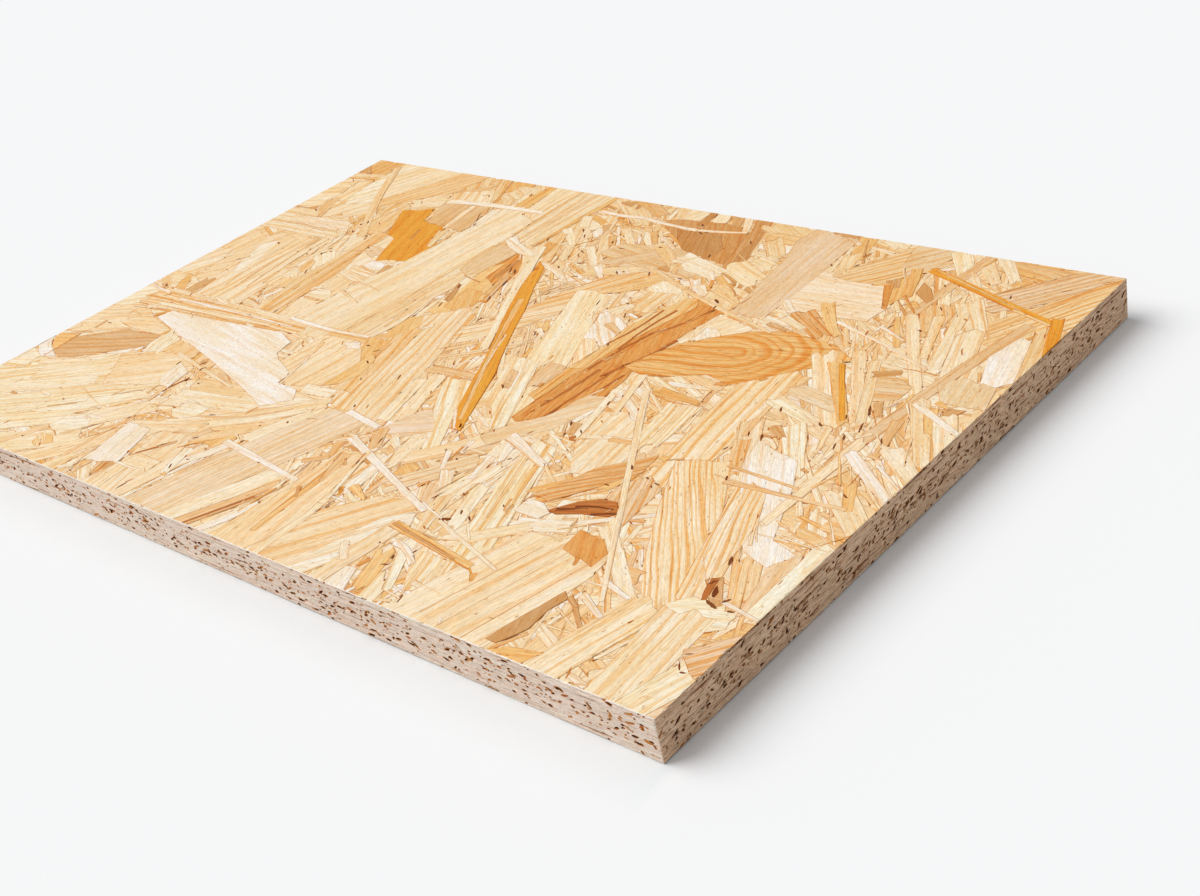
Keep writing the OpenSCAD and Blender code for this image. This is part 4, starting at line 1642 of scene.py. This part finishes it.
    strip("white", 77, -120, 96, -128, 4, 2.6, bow=2),
    strip("white", 84, -103, 126, -116, 2.2, 1.6),
    strip("white", -48, -101, 8, -108, 4, 2.6),
    strip("white", -15, -61, 10, -65, 4, 3),
    strip("white", 3, -75, 74, -101, 4.2, 3.2),
    strip("cream", 20, -80, 31, -112, 3, 2),
    strip("umber", 20, -82, 23, -92, 1.4, 0.8),
    strip("white", 67, -47, 95, -58, 5.4, 3.6),
    strip("cream", 96, 2, 172, -113, 3.4, 2.2),
    strip("straw", 86, 12, 96, -18, 5, 3),
    strip("cream", -45, 90, 3, 2, 8, 6, ring=3),
    shape("amber", -61, 4, 0.4, -34, 79, -26, 74, -16, 56, -4, 37, 4, 22, 17, 0, 25, -12, 45, -53, 39, -53,
          31, -42, 20, -22, 8, 0, 2, 10, -13, 35, -24, 56, rough=0.5),
    strip("honey", -14, 45, 38, -46, 3.2, 2.0, bow=-1),
    strip("flax", 4, 16, 30, -34, 1.4, 0.8, bow=-1),
    strip("white", 30, -41, 41, -53, 2.0, 1.2),
    strip("white", -43, 134, -14, 134, 2.6, 2.6, bow=-1),
    strip("white", -15, 134, 22, 131, 2.6, 2.6, bow=-1),
    strip("white", 20, 131, 46, 136, 2.6, 2.0, bow=-0.6),
    strip("white", -67, 94, -42, 83, 7, 6, bow=-2.5),
    strip("amber", 147, 131, 217, 105, 4.8, 4.0, ring=2, strength=1.0),
    strip("honey", 150, 131, 200, 111, 1.6, 1.2),
    strip("flax", 196, 111, 216, 104, 1.6, 1.4),
    strip("amber", 216, 111, 230, 74, 5, 5, ring=2, strength=0.7),
    strip("honey", 141, 130, 151, 107, 5, 3),
    strip("honey", 122, 91, 143, 67, 6.5, 4, ring=3, bow=-1.6),
    strip("honey", 153, 50, 182, 12, 6.5, 4.5, ring=3),
    strip("amber", 157, 49, 181, 13, 2.6, 2.2, ring=2),
    strip("flax", 25, 91, 115, 60, 3.2, 2.2, bow=-2),
    strip("white", 135, 78, 190, 57, 2.4, 1.6, bow=1),
    strip("white", 155, 80, 169, 74, 2.2, 1.4),
    strip("white", -137, 118, -72, 122, 5, 3, bow=1.5),
    strip("straw", -204, 144, -151, 69, 4.4, 5.4, bow=-2.4),
    strip("cream", -112, 20, -92, 13, 1.8, 1.2),
    strip("white", -113, -11, -58, -10, 3, 2.2, bow=-1.4),
]

UPPERMOST = 60       # how many of them, from the last, lie over the torn shreds

# Gaps pressed between strands: middle, angle, length, width, and the tone where it isn't the darkest.
GAPS = [
    (-148, 28, -60, 6, 1.6), (-157, 52, 40, 4, 1.5), (-165, 43, -50, 3, 1.2),
    (-121, 130, 50, 5, 1.2, "shade"), (-41, 66, -62, 9, 1.4), (-3, 103, 30, 4, 1.5),
    (-20, 77, -50, 4, 1.6), (-5, 72, 20, 4, 1.5), (-19, 23, -85, 9, 1.2),
    (-16, 6, -70, 14, 1.0, "shade"), (12, 115, 20, 3, 1.4), (21, 114, -30, 4, 1.3, "shade"),
    (45, 87, 0, 4, 1.4), (12, 82, -40, 5, 1.6), (75, 75, -35, 6, 2.2), (78, 70, -80, 4, 1.6),
    (145, 97, -50, 5, 1.6, "shade"), (126, 78, 10, 4, 1.2, "shade"),
    (-128, -58, 10, 4, 1.2, "shade"), (-114, -90, -88, 12, 0.9), (-115, -84, -80, 5, 1.3),
    (-44, -18, 60, 4, 1.3), (-15, -31, -65, 7, 1.3), (-72, -89, 25, 5, 1.4),
    (-58, -97, 30, 4, 1.3, "shade"), (-63, -105, 40, 4, 1.3), (-73, -115, 50, 9, 1.6),
    (-62, -140, 70, 5, 1.2, "shade"), (22, -88, -65, 5, 1.2), (31, -105, -60, 5, 1.6, "shade"),
    (86, -101, 20, 6, 3.2), (88, -95, -60, 4, 1.6), (85, -127, -60, 4, 1.6), (86, -132, 30, 4, 1.4),
    (18, -72, -70, 7, 1.2), (22, -73, -76, 10, 1.2), (9, -35, -60, 3, 1.2, "shade"),
    (36, -19, -40, 4, 1.6), (46, -37, -40, 4, 1.4, "shade"), (50, -22, -60, 3, 1.2),
    (58, -47, -60, 3, 1.2, "shade"), (57, -62, -78, 6, 1.0, "shade"), (59, -69, -30, 3, 1.4),
    (50, -66, -60, 3, 1.2), (75, -67, -85, 6, 1.2, "shade"), (79, -60, 40, 3, 1.4),
    (71, -91, 76, 8, 1.1), (80, -86, -30, 2.4, 1.2), (66, -76, 0, 2, 1.2),
    (73, -42, 70, 4, 1.8, "shade"), (42, -50, -60, 5, 1.6), (44, -54, -60, 3, 1.0),
    (107, -144, -75, 6, 0.9), (88, -12, -70, 4, 1.4), (95, -24, -40, 3, 1.2, "shade"),
    (-214, -11, -40, 4, 1.8), (-207, -12, -30, 4, 1.2, "shade"), (-190, -13, -60, 5, 1.6, "shade"),
    (-153, -10, -70, 4, 1.4), (-193, -23, 20, 2, 1.6, "shade"), (-188, -21, 0, 3, 1.2, "shade"),
    (-198, -32, 40, 3, 1.6, "shade"), (-207, -51, 10, 4, 1.2), (-208, -92, -80, 6, 1.2, "shade"),
    (-163, -61, -70, 5, 1.2), (-131, -64, -80, 5, 1.6), (-146, -139, 0, 3, 1.0),
    (-158, -110, -20, 4, 1.0, "shade"), (-166, -135, 80, 5, 1.6, "shade"),
    (-199, -108, 88, 8, 1.0, "shade"), (-118, -59, 70, 4, 1.6), (-129, -54, -60, 4, 1.2, "shade"),
    (-164, 80, 0, 3, 2.0), (-162, 83, -50, 5, 1.4), (-162, 72, -30, 5, 1.4),
    (-149, 70, -10, 3, 1.4), (-193, 47, -30, 4, 1.8), (-207, 85, -20, 5, 1.3),
    (-218, 122, -40, 5, 1.0), (-205, 126, -50, 4, 1.4, "shade"), (-154, 84, -40, 4, 1.4, "shade"),
    (-136, 60, -20, 4, 1.0), (-154, 50, 20, 3, 1.6), (-157, 46, -40, 4, 1.4),
    (-210, 24, 0, 3, 1.6, "shade"), (-195, 14, -20, 4, 1.0, "shade"),
    (-126, 15, 70, 5, 1.4, "shade"), (-118, 130, -50, 3, 1.2), (-140, 123, -10, 3, 1.6, "shade"),
    (-151, 112, -50, 4, 1.4, "shade"), (-104, 108, -60, 16, 1.1), (-99, 100, -70, 5, 1.5),
    (-82, 118, -50, 3, 1.4), (-47, 99, -70, 5, 1.4), (-34, 55, -72, 9, 1.6), (-30, 40, -60, 6, 1.2),
    (-38, 66, -50, 7, 1.5), (-54, 44, -60, 6, 1.4), (-49, 27, -70, 6, 1.4), (-53, 14, 80, 4, 1.4),
    (-23, 88, -70, 4, 1.2), (-20, 94, -30, 5, 1.2), (-12, 84, 20, 6, 1.8), (-36, 113, -50, 5, 1.4),
    (-31, 108, -55, 6, 1.2), (-12, 107, -55, 4, 1.6), (-4, 92, 80, 5, 1.6), (20, 136, -40, 5, 1.6),
    (24, 129, -30, 4, 1.6), (44, 110, -60, 5, 1.4), (54, 128, -50, 5, 1.4), (15, 110, 0, 3, 1.6),
    (38, 59, 0, 3, 1.6), (32, 52, -30, 2, 1.2), (44, 50, -60, 7, 1.2),
    (34, 42, -65, 14, 1.0, "shade"), (16, 22, -60, 7, 1.2), (24, 55, -70, 7, 1.2),
    (55, 26, -60, 4, 1.2), (49, 47, -60, 3, 1.2), (28, 86, -60, 5, 1.4), (103, 121, -50, 3, 1.6),
    (113, 134, 80, 6, 3.2, "shade"), (114, 124, 70, 4, 2.0), (87, 80, 88, 10, 1.2, "shade"),
    (158, 51, 30, 3, 1.6), (186, 24, -60, 9, 1.6), (181, 16, -60, 4, 1.2), (190, 12, -70, 8, 1.4),
    (188, 4, -60, 6, 1.6), (155, 11, -60, 4, 1.6), (160, 120, -50, 4, 1.2), (146, 127, 10, 3, 1.6),
    (190, 120, -70, 5, 1.2), (169, 102, -50, 4, 1.2), (183, 97, -30, 4, 1.6, "shade"),
    (171, 83, -40, 3, 1.4), (158, 82, 80, 5, 1.2), (208, 132, 40, 6, 1.2, "shade"),
    (220, 144, 45, 8, 1.1, "shade"), (229, 96, -70, 6, 1.4), (152, 74, -70, 6, 1.4, "shade"),
    (195, 74, -60, 7, 1.2, "shade"), (160, -8, -60, 5, 1.8), (154, -8, -60, 5, 1.2),
    (165, -36, -60, 4, 1.6), (152, -20, 70, 4, 1.4), (188, -2, -70, 6, 1.4),
    (128, -45, -50, 5, 1.6), (127, -58, 0, 3, 1.4), (197, -76, -65, 7, 1.6),
    (188, -117, 70, 4, 1.4, "shade"), (187, -146, -70, 7, 1.6, "shade"), (216, -127, -50, 5, 1.2),
    (219, -129, 10, 3, 1.4), (215, -121, 30, 4, 1.0), (168, -90, -50, 3, 1.2, "shade"),
    (151, -73, -30, 4, 1.2, "shade"), (143, -52, -40, 3, 1.2), (138, -48, -20, 3, 1.2),
    (219, -78, -88, 7, 0.9, "shade"), (207, -18, -85, 12, 1.0, "shade"), (-52, -16, 10, 3, 1.8),
    (-40, -27, -30, 4, 1.6), (-31, -39, -50, 3, 1.2), (-15, -57, -60, 3, 1.4),
    (-33, -79, -50, 2.6, 1.4), (-43, -86, 0, 2, 1.2), (-40, -98, 80, 3, 1.4),
    (-54, -125, -55, 5, 1.3), (-51, -118, 10, 3, 1.2), (-62, -144, 88, 7, 1.3),
    (-80, -132, 20, 3, 1.2), (-104, -73, -10, 3, 1.2), (-112, -73, 60, 5, 1.8),
    (-114, -63, 70, 5, 1.6), (-103, -67, 0, 3, 1.0, "shade"), (-86, -26, -50, 5, 1.3, "shade"),
    (-78, -20, 80, 4, 1.2, "shade"), (-66, -19, -50, 6, 1.0, "shade"),
    (-31, -55, -60, 3, 1.2, "shade"), (-9, -55, -60, 4, 1.0, "shade"),
    (-5, -4, -50, 4, 0.9, "shade"), (84, -30, -50, 5, 1.6), (87, -37, -60, 4, 1.4),
    (210, -28, -30, 4, 1.4), (203, -92, -60, 8, 3.2), (206, -98, -20, 8, 2.4),
    (209, -94, 60, 5, 2.0), (214, -98, 10, 4, 2.0), (199, -88, 70, 5, 1.6), (202, 7, -60, 6, 1.4),
    (175, 8, -40, 4, 1.4), (144, 60, -30, 4, 1.4, "shade"), (92, -33, -40, 4, 1.2),
    (54, 64, -30, 4, 1.2, "shade"), (218, 96, -70, 5, 1.3, "shade"),
    (150, -50, -70, 4, 1.2, "shade"),
]


# ---------------------------------------------------------------- torn fibres along the seams
class Recipe(Finish):
    """A Geometry Nodes tree, built with the same node method as a finish."""

    def __init__(self, name, finish, sizes):
        self.finish = finish
        self.tree = bpy.data.node_groups.new(name, "GeometryNodeTree")
        face = self.tree.interface
        face.new_socket("Face", in_out="INPUT", socket_type="NodeSocketGeometry")
        face.new_socket("Fibres", in_out="OUTPUT", socket_type="NodeSocketGeometry")
        self.key = {}
        for title in sizes:
            kind = "NodeSocketInt" if title == "Seed" else "NodeSocketFloat"
            self.key[title] = face.new_socket(title, in_out="INPUT", socket_type=kind).identifier
        start = self.tree.nodes.new("NodeGroupInput")
        self.given = {title: Port(self, start.outputs[title]) for title in ("Face", *sizes)}

    def between(self, kind, low, high, seed, out):
        first = {"FLOAT_VECTOR": 0, "FLOAT": 2}[kind]
        return self.node("FunctionNodeRandomValue", {"data_type": kind},
                         {first: low, first + 1: high, "Seed": seed}, out)

    def below(self, value, limit):
        return self.node("FunctionNodeCompare", {"data_type": "FLOAT", "operation": "LESS_THAN"},
                         {0: value, 1: limit})

    def both(self, first, second):
        return self.node("FunctionNodeBooleanMath", {"operation": "AND"}, {0: first, 1: second})


FIBRE_SIZES = {
    "Per Square Metre": 45000.0,
    "Length": 3.4 * MM,
    "Width": 0.42 * MM,
    "Thickness": 0.12 * MM,
    "Half Length": HALF_L * MM,
    "Half Width": HALF_W * MM,
}


def fibre_recipe(finish):
    """Short torn fibres, scattered along the seams of a face and lying flat on it."""
    r = Recipe("torn_fibres", finish, (*FIBRE_SIZES, "Seed"))
    given = r.given
    x, y, _ = r.parts(r.node("GeometryNodeInputPosition"))
    _, _, facing = r.parts(r.node("GeometryNodeInputNormal"))
    edge = r.node("GeometryNodeInputNamedAttribute", {"data_type": "FLOAT"}, {"Name": "edge"})
    chosen_faces = r.both(r.below(edge, 0.9), r.below(0.8, facing.size()))
    chosen_faces = r.both(chosen_faces, r.below(x.size(), given["Half Length"] - given["Length"] * 2))
    chosen_faces = r.both(chosen_faces, r.below(y.size(), given["Half Width"] - given["Length"] * 2))
    spots = r.node("GeometryNodeDistributePointsOnFaces", None,
                   {"Mesh": given["Face"], "Selection": chosen_faces, "Density": given["Per Square Metre"],
                    "Seed": given["Seed"]})
    turn = r.between("FLOAT_VECTOR", (0.0, -0.012, 0.0), (0.0, 0.012, 2 * math.pi), 3, 0)
    turned = r.node("FunctionNodeEulerToRotation", None, {0: turn})
    size = r.joined(given["Length"], given["Width"], given["Thickness"])
    size = r.times(size, r.between("FLOAT_VECTOR", (0.35, 0.6, 0.7), (1.6, 1.4, 1.2), 5, 0))
    blank = r.node("GeometryNodeMeshCone", None,
                   {"Vertices": 4, "Radius Top": 0.2, "Radius Bottom": 0.7, "Depth": 1.0})
    blank = r.node("GeometryNodeTransform", None, {"Geometry": blank, "Rotation": (0.0, 0.0, math.pi / 4)})
    blank = r.node("GeometryNodeTransform", None, {"Geometry": blank, "Rotation": (0.0, math.pi / 2, 0.0)})
    laid = r.node("GeometryNodeInstanceOnPoints", None,
                  {"Points": spots, "Instance": blank, "Rotation": turned, "Scale": size})
    laid = r.node("GeometryNodeStoreNamedAttribute", {"data_type": "FLOAT", "domain": "INSTANCE"},
                  {"Geometry": laid, "Name": "shade", "Value": r.between("FLOAT", 0.0, 1.0, 8, 1)})
    laid = r.node("GeometryNodeRealizeInstances", None, {"Geometry": laid})
    laid = r.node("GeometryNodeSetMaterial", None, {"Geometry": laid, "Material": finish})
    end = r.tree.nodes.new("NodeGroupOutput")
    r.tree.links.new(laid.value, end.inputs["Fibres"])
    return r


def torn_fibres(name, recipe, skin, values):
    """The fibres of one face as a plain mesh."""
    mesh = bpy.data.meshes.new(name)
    place = skin.face.solid(skin.points[:, 0], skin.points[:, 1], skin.height)
    mesh.from_pydata((place * MM).tolist(), [], skin.tris.tolist())
    store(mesh, "edge", "FLOAT", "value", skin.edge.ravel())
    piece = placed(name, mesh)
    made = piece.modifiers.new("fibres", "NODES")
    made.node_group = recipe.tree
    for title, value in values.items():
        made[recipe.key[title]] = value
    seen = piece.evaluated_get(bpy.context.evaluated_depsgraph_get())
    plain = bpy.data.meshes.new_from_object(seen)
    piece.modifiers.remove(made)
    plain.name = name
    plain.materials.clear()
    plain.materials.append(recipe.finish)
    plain.polygons.foreach_set("material_index", np.zeros(len(plain.polygons), np.int32))
    piece.data = plain
    bpy.data.meshes.remove(mesh)
    return piece


def fibre_finish():
    """Torn fibres: mostly pale, some honey, a few brown."""
    f = Finish("torn_fibres")
    shade = f.read("shade", "Fac")
    pale = (*linear((246, 224, 194)), 1.0)
    colour = f.mix(shade.step_up(0.2, 0.75), pale, (*linear((240, 192, 130)), 1.0))
    colour = f.mix(shade.step_up(0.8, 0.84), colour, (*linear((196, 128, 66)), 1.0))
    return f.shader(colour, None, 0.7, 0.12)


# ---------------------------------------------------------------- building the board
BRIGHT = np.array([1.065, 1.11, 1.16])       # this face as a whole
# painted shade: the next tint makes the top face deeper in colour towards the back, as the light falls off
# there
BACK_PAINTED_SHADE = np.array([0.035, 0.07, 0.155])      # how much deeper in colour it is towards the back
PALEST = np.array([0.995, 0.885, 0.77])      # no wood is paler than this

# kind of strand, how many are tried, and the fewest cells that one has to show in
STAGES = (("sliver", 420, 4), ("small", 640, 8), ("medium", 300, 12), ("big", 420, 6))
UNDERSIDE_FIRST = (("sliver", 40, 4), ("small", 50, 4), ("medium", 60, 4), ("big", 40, 4))

TOP_SHREDS = 360
TOP_GAPS = 460
UNDERSIDE_SHREDS = 300
UNDERSIDE_GAPS = 480
UNDERSIDE_UPPERMOST = 40     # strands of the underside that lie over the torn shreds

GAP_LENGTH = 0.9      # the listed gaps are shortened and narrowed by these shares
GAP_WIDTH = 0.75
GAP_LEVEL = -0.3

# side, rows in its map, seed, tone, number of pits, their slant, and how rough the cut is
SAWN_EDGES = (
    ("front", 5, 51, "sawn", 760, 0, 0.6),
    ("back", 5, 52, "sawn", 760, 0, 0.6),
    # painted shade: the right edge, which lies in shade, takes the browner sawn tone, darker pit rims and
    # no pale arris strip
    ("right", 4, 53, "sawn_painted_shade", 560, 18, 1.5),
    ("left", 4, 54, "sawn", 520, 12, 0.6),
)


def finished_stack(draw, sheet, flakes, shreds, uppermost, gaps):
    """Shreds and gaps along the seams, and every strand pressed to its level."""
    flakes = put_in(sheet, flakes, seam_shreds(draw, sheet, flakes, shreds), uppermost)
    settle(draw, flakes, FACE_PRESSED)
    return flakes, seam_gaps(draw, sheet, flakes, gaps, (0.6, 3.4))


def lay_top():
    """The face that shows: the listed strands, last one on top, over a random fill."""
    flakes = []
    sheet = Sheet(HALF_L, HALF_W, FACE_CELL)
    draw = np.random.default_rng(TOP_SEED)
    made = [make_flake(own_draw(item), item) for item in STRANDS]
    for flake in reversed(made):
        if sheet.lay(flake.outline, len(flakes)):
            flakes.append(flake)
    angles_at = np.array([flake.centre for flake in flakes])
    grains = np.array([flake.grain for flake in flakes])

    def angles(draw, spot):
        if draw.random() < 0.25:
            return draw.uniform(0, 180)
        away = np.hypot(*(angles_at - spot).T)
        near = np.argsort(away)[:5]
        return grains[near[draw.integers(5)]] + draw.normal(0, 12)

    fill_sheet(draw, sheet, flakes, angles, STAGES)
    flakes, holes = finished_stack(draw, sheet, flakes, TOP_SHREDS, UPPERMOST, TOP_GAPS)
    # the listed gaps: darker wood with painted shade of the hollow
    for x, y, angle, length, width, *paler in GAPS:
        tone = paler[0] if paler else "gap_dark_and_painted_shade"
        holes.insert(0, gap_flake(draw, (x, y), angle, GAP_LENGTH * length, GAP_WIDTH * width, tone,
                                  GAP_LEVEL))
    flakes = put_in(sheet, flakes, holes)
    # each strand's tone is brightened, and painted shade deepens it towards the back
    for flake in flakes:
        back = flake.centre[1] / HALF_W
        flake.tone = np.minimum(flake.tone * (BRIGHT - back * BACK_PAINTED_SHADE), PALEST)
    return sheet, flakes


def lay_underside():
    """The face that the board lies on: random strands, most of them along its length."""
    flakes = []
    sheet = Sheet(HALF_L, HALF_W, FACE_CELL)
    draw = np.random.default_rng(UNDERSIDE_SEED)

    def angles(draw, spot):
        return draw.normal(12, 28) if draw.random() < 0.65 else draw.uniform(0, 180)

    for kind, tries, least in UNDERSIDE_FIRST:
        for _ in range(tries):
            spot = (draw.uniform(-HALF_L, HALF_L), draw.uniform(-HALF_W, HALF_W))
            flake = random_flake(draw, spot, angles(draw, spot), kind)
            if sheet.lay(flake.outline, len(flakes), least):
                flakes.append(flake)
    fill_sheet(draw, sheet, flakes, angles, STAGES)
    flakes, holes = finished_stack(draw, sheet, flakes, UNDERSIDE_SHREDS, UNDERSIDE_UPPERMOST,
                                   UNDERSIDE_GAPS)
    return sheet, put_in(sheet, flakes, holes)


def lay_edge(face, seed, wood, pits, slant, rough):
    """A sawn edge: cut strand ends in layers, with pits and their rusty rims."""
    draw = np.random.default_rng(seed)
    flakes = []
    sheet = Sheet(face.half_u, face.half_v, EDGE_CELL)
    base = linear(wood)
    laid = []
    level = -face.half_v
    while level < face.half_v:
        core = abs(level) < 0.55 * face.half_v
        pitch = draw.uniform(0.75, 1.25)
        at = -face.half_u - draw.uniform(0, 20)
        while at < face.half_u:
            length = draw.uniform(7, 24) if core else draw.uniform(16, 50)
            laid.append((at, level, length, pitch * draw.uniform(1.35, 1.9), 3.2 if core else 1.3))
            at += length * draw.uniform(0.72, 0.95)
        level += pitch
    for n in draw.permutation(len(laid)):
        at, level, length, thick, lean = laid[n]
        angle = draw.normal(0, lean)
        middle = np.array([at + length / 2, level + draw.uniform(-0.3, 0.3)])
        bow = draw.normal(0, 0.012) * length
        outline = centred_strip(draw, middle, angle, length, thick, thick * 0.8, bow, 0.4)
        warm = draw.normal(0, 0.015)
        tone = base * (1 + draw.normal(0, 0.04)) * (1 - warm * np.array([0.2, 1, 1.8]))
        tone = np.clip(tone, 0, 0.98)
        flake = Flake(outline, angle, tone, 5.0, rough * draw.uniform(0.5, 1.2), log_place(draw), 0.13)
        if sheet.lay(outline, len(flakes), 6):
            flakes.append(flake)
    settle(draw, flakes, EDGE_PRESSED)
    holes = []
    for _ in range(pits):
        u = draw.uniform(-face.half_u + 1, face.half_u - 1)
        v = np.clip(draw.normal(0, 0.46), -0.9, 0.9) * face.half_v
        length = draw.uniform(0.7, 1.9) if draw.random() < 0.8 else draw.uniform(1.9, 4.0)
        width = np.clip(length * draw.uniform(0.3, 0.6), 0.4, 1.0)
        angle = draw.normal(slant, 17)
        # a dark hole: dark wood, with painted shade of the hollow
        if draw.random() < 0.66:
            holes.append(gap_flake(draw, (u, v), angle, length, width, "pit", -0.6, 7))
        spot = (u + draw.uniform(-0.3, 0.3), v + draw.uniform(-0.15, 0.15))
        # rusty rims round the pits; on the edge in shade they are darker, painted shade
        around = "rust" if rough < 1 else "rust_and_painted_shade"
        rim = gap_flake(draw, spot, angle, length * 1.2 + 0.3, width * 1.2 + 0.25, around, -0.2, 7)
        holes.append(rim)
    holes.sort(key=lambda hole: hole.level)
    # a pale strip along the upper arris: bruised wood and painted highlight, left out on the edge in shade
    if rough < 1:
        at = -face.half_u
        while at < face.half_u:
            length = draw.uniform(14, 40)
            ends = (at, face.half_v - 0.42), (at + length, face.half_v - 0.42)
            outline = torn_strip(draw, *ends, 0.55, 0.45, 0.0, 0.3)
            holes.insert(0, Flake(outline, 0, ARRIS_PALE_AND_PAINTED_HIGHLIGHT, 5.0, 0.2, log_place(draw), 0.08, -0.06))
            at += length + draw.uniform(0, 3)
    return sheet, put_in(sheet, flakes, holes)


def bands(face, count):
    """A face's width, cut into equal stretches."""
    edges = np.linspace(-face.half_v, face.half_v, count + 1)
    return list(zip(edges[:-1], edges[1:]))


def fold_lines(face, folds):
    """Where the map of a face starts a new row."""
    return [face.half_u * (2 * k / folds - 1) for k in range(1, folds)]


def build_board():
    """All the pieces of the board: both faces, their torn fibres, and the four sawn edges."""
    break_arrises()
    inner = plain_finish("inner_wood", WOOD_INNER)
    pressed = strand_finish()
    sawn = edge_finish()
    pieces = []
    sheets = {"top": lay_top(), "underside": lay_underside()}
    recipe = fibre_recipe(fibre_finish())
    for side in ("top", "underside"):
        face = FACES[side]
        sheet, stack = sheets[side]
        rows = bands(face, BANDS)
        skin = Skin(face, stack, sheet, fold_lines(face, FACE_FOLDS), [high_v for _, high_v in rows[:-1]])
        for number, (low_v, high_v) in enumerate(rows):
            box = (-face.half_u, face.half_u, low_v, high_v)
            name = "%s_strands_%d" % (side, number + 1)
            pieces.append(slab_piece(name, skin, box, FACE_FOLDS, inner, pressed))
        values = {**FIBRE_SIZES, "Seed": FIBRE_SEEDS[side]}
        pieces.append(torn_fibres("torn_fibres_" + side, recipe, skin, values))
    for side, folds, seed, wood, pits, slant, rough in SAWN_EDGES:
        face = FACES[side]
        sheet, stack = lay_edge(face, seed, WOOD[wood], pits, slant, rough)
        skin = Skin(face, stack, sheet, fold_lines(face, folds), [])
        box = (-face.half_u, face.half_u, -face.half_v, face.half_v)
        pieces.append(slab_piece("sawn_edge_" + side, skin, box, folds, inner, sawn))
    for piece in pieces:
        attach(piece, "root")
        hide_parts("board")
    return pieces


# ---------------------------------------------------------------- floor, light, camera
FLOOR_REACH = 6.0                             # metres from the middle to each side
FLOOR_SEEN = (0.967, 0.967, 0.984, 1.0)       # what the camera sees of it
# painted shadow: the floor colour right beside the board, darker and cooler
FLOOR_PAINTED_SHADOW = (0.84, 0.87, 0.90, 1.0)        # right beside the board
FLOOR_LIT = (0.68, 0.70, 0.74, 1.0)           # what it throws back on the board
KEY_STRENGTH = 2.33
KEY_SPREAD = 48                               # degrees
KEY_TOWARD = (-0.61, -0.27, 0.75)
CAMERA_LENS = 50.30
CAMERA_ROLL = 12.39                           # degrees
CAMERA_PLACE = (0.5077, -0.4087, 0.3329)
CAMERA_AHEAD = (-0.6363, 0.5869, -0.5007)
CAMERA_LEVEL = (0.678, 0.735, 0.0)


def build_floor():
    """A wide white floor, a little darker where the board stands on it: a painted contact shadow."""
    mesh = bpy.data.meshes.new("floor")
    reach = FLOOR_REACH
    mesh.from_pydata([(-reach, -reach, 0), (reach, -reach, 0), (reach, reach, 0), (-reach, reach, 0)], [],
                     [(0, 1, 2, 3)])
    floor = placed("floor", mesh)
    f = Finish("floor_white")
    path = f.node("ShaderNodeLightPath", None, None, out="Is Camera Ray")
    x, y, _ = f.parts(f.node("ShaderNodeTexCoord", out="Object"))
    # painted contact shadow: darker within about 26 mm in front of the board and about 6 mm beside its ends
    # and back
    clear = (y * -1 - HALF_W * MM).at_least((x.size() - HALF_L * MM) * 4).at_least((y - HALF_W * MM) * 4)
    white = f.mix(clear.step_up(-0.004, 0.026), FLOOR_PAINTED_SHADOW, FLOOR_SEEN)
    colour = f.mix(path, FLOOR_LIT, white)
    mesh.materials.append(f.shader(colour, None, 0.9, 0.0))


def build_light():
    """A pale room, brighter where it is looked at, and one broad sun."""
    scene = bpy.context.scene
    scene.world = bpy.data.worlds.new("studio")
    f = Finish("studio", scene.world)
    path = f.node("ShaderNodeLightPath").value.node
    seen = Port(f, path.outputs["Is Camera Ray"]).at_least(Port(f, path.outputs["Is Glossy Ray"]))
    seen = seen.at_least(Port(f, path.outputs["Is Transmission Ray"]))
    tint = f.mix(seen, (0.955, 0.99, 1.0, 1.0), (1.0, 1.0, 1.0, 1.0))
    plain = f.node("ShaderNodeBackground", None, {"Color": tint, "Strength": seen * 0.51 + 0.42})
    f.end("ShaderNodeOutputWorld", plain)

    lamp = bpy.data.lights.new("key", "SUN")
    lamp.energy = KEY_STRENGTH
    lamp.angle = math.radians(KEY_SPREAD)
    lamp.color = (1.0, 0.985, 0.96)
    key = placed("key", lamp)
    toward = Vector(KEY_TOWARD).normalized()
    key.location = toward * 2.0
    key.rotation_euler = toward.to_track_quat("Z", "Y").to_euler()


def build_camera():
    """The camera, from where it looks, which way is level, and how far it is rolled."""
    data = bpy.data.cameras.new("camera")
    data.lens = CAMERA_LENS
    data.sensor_width = 36.0
    camera = placed("camera", data)
    roll = math.radians(CAMERA_ROLL)
    ahead = Vector(CAMERA_AHEAD).normalized()
    level = Vector(CAMERA_LEVEL).normalized()
    down = ahead.cross(level)
    right = math.cos(roll) * level + math.sin(roll) * down
    below = -math.sin(roll) * level + math.cos(roll) * down
    place = Matrix((right, -below, -ahead)).transposed().to_4x4()
    place.translation = Vector(CAMERA_PLACE)
    camera.matrix_world = place
    bpy.context.scene.camera = camera


build_board()
build_floor()
build_light()
build_camera()
bpy.context.scene.view_settings.view_transform = "Standard"
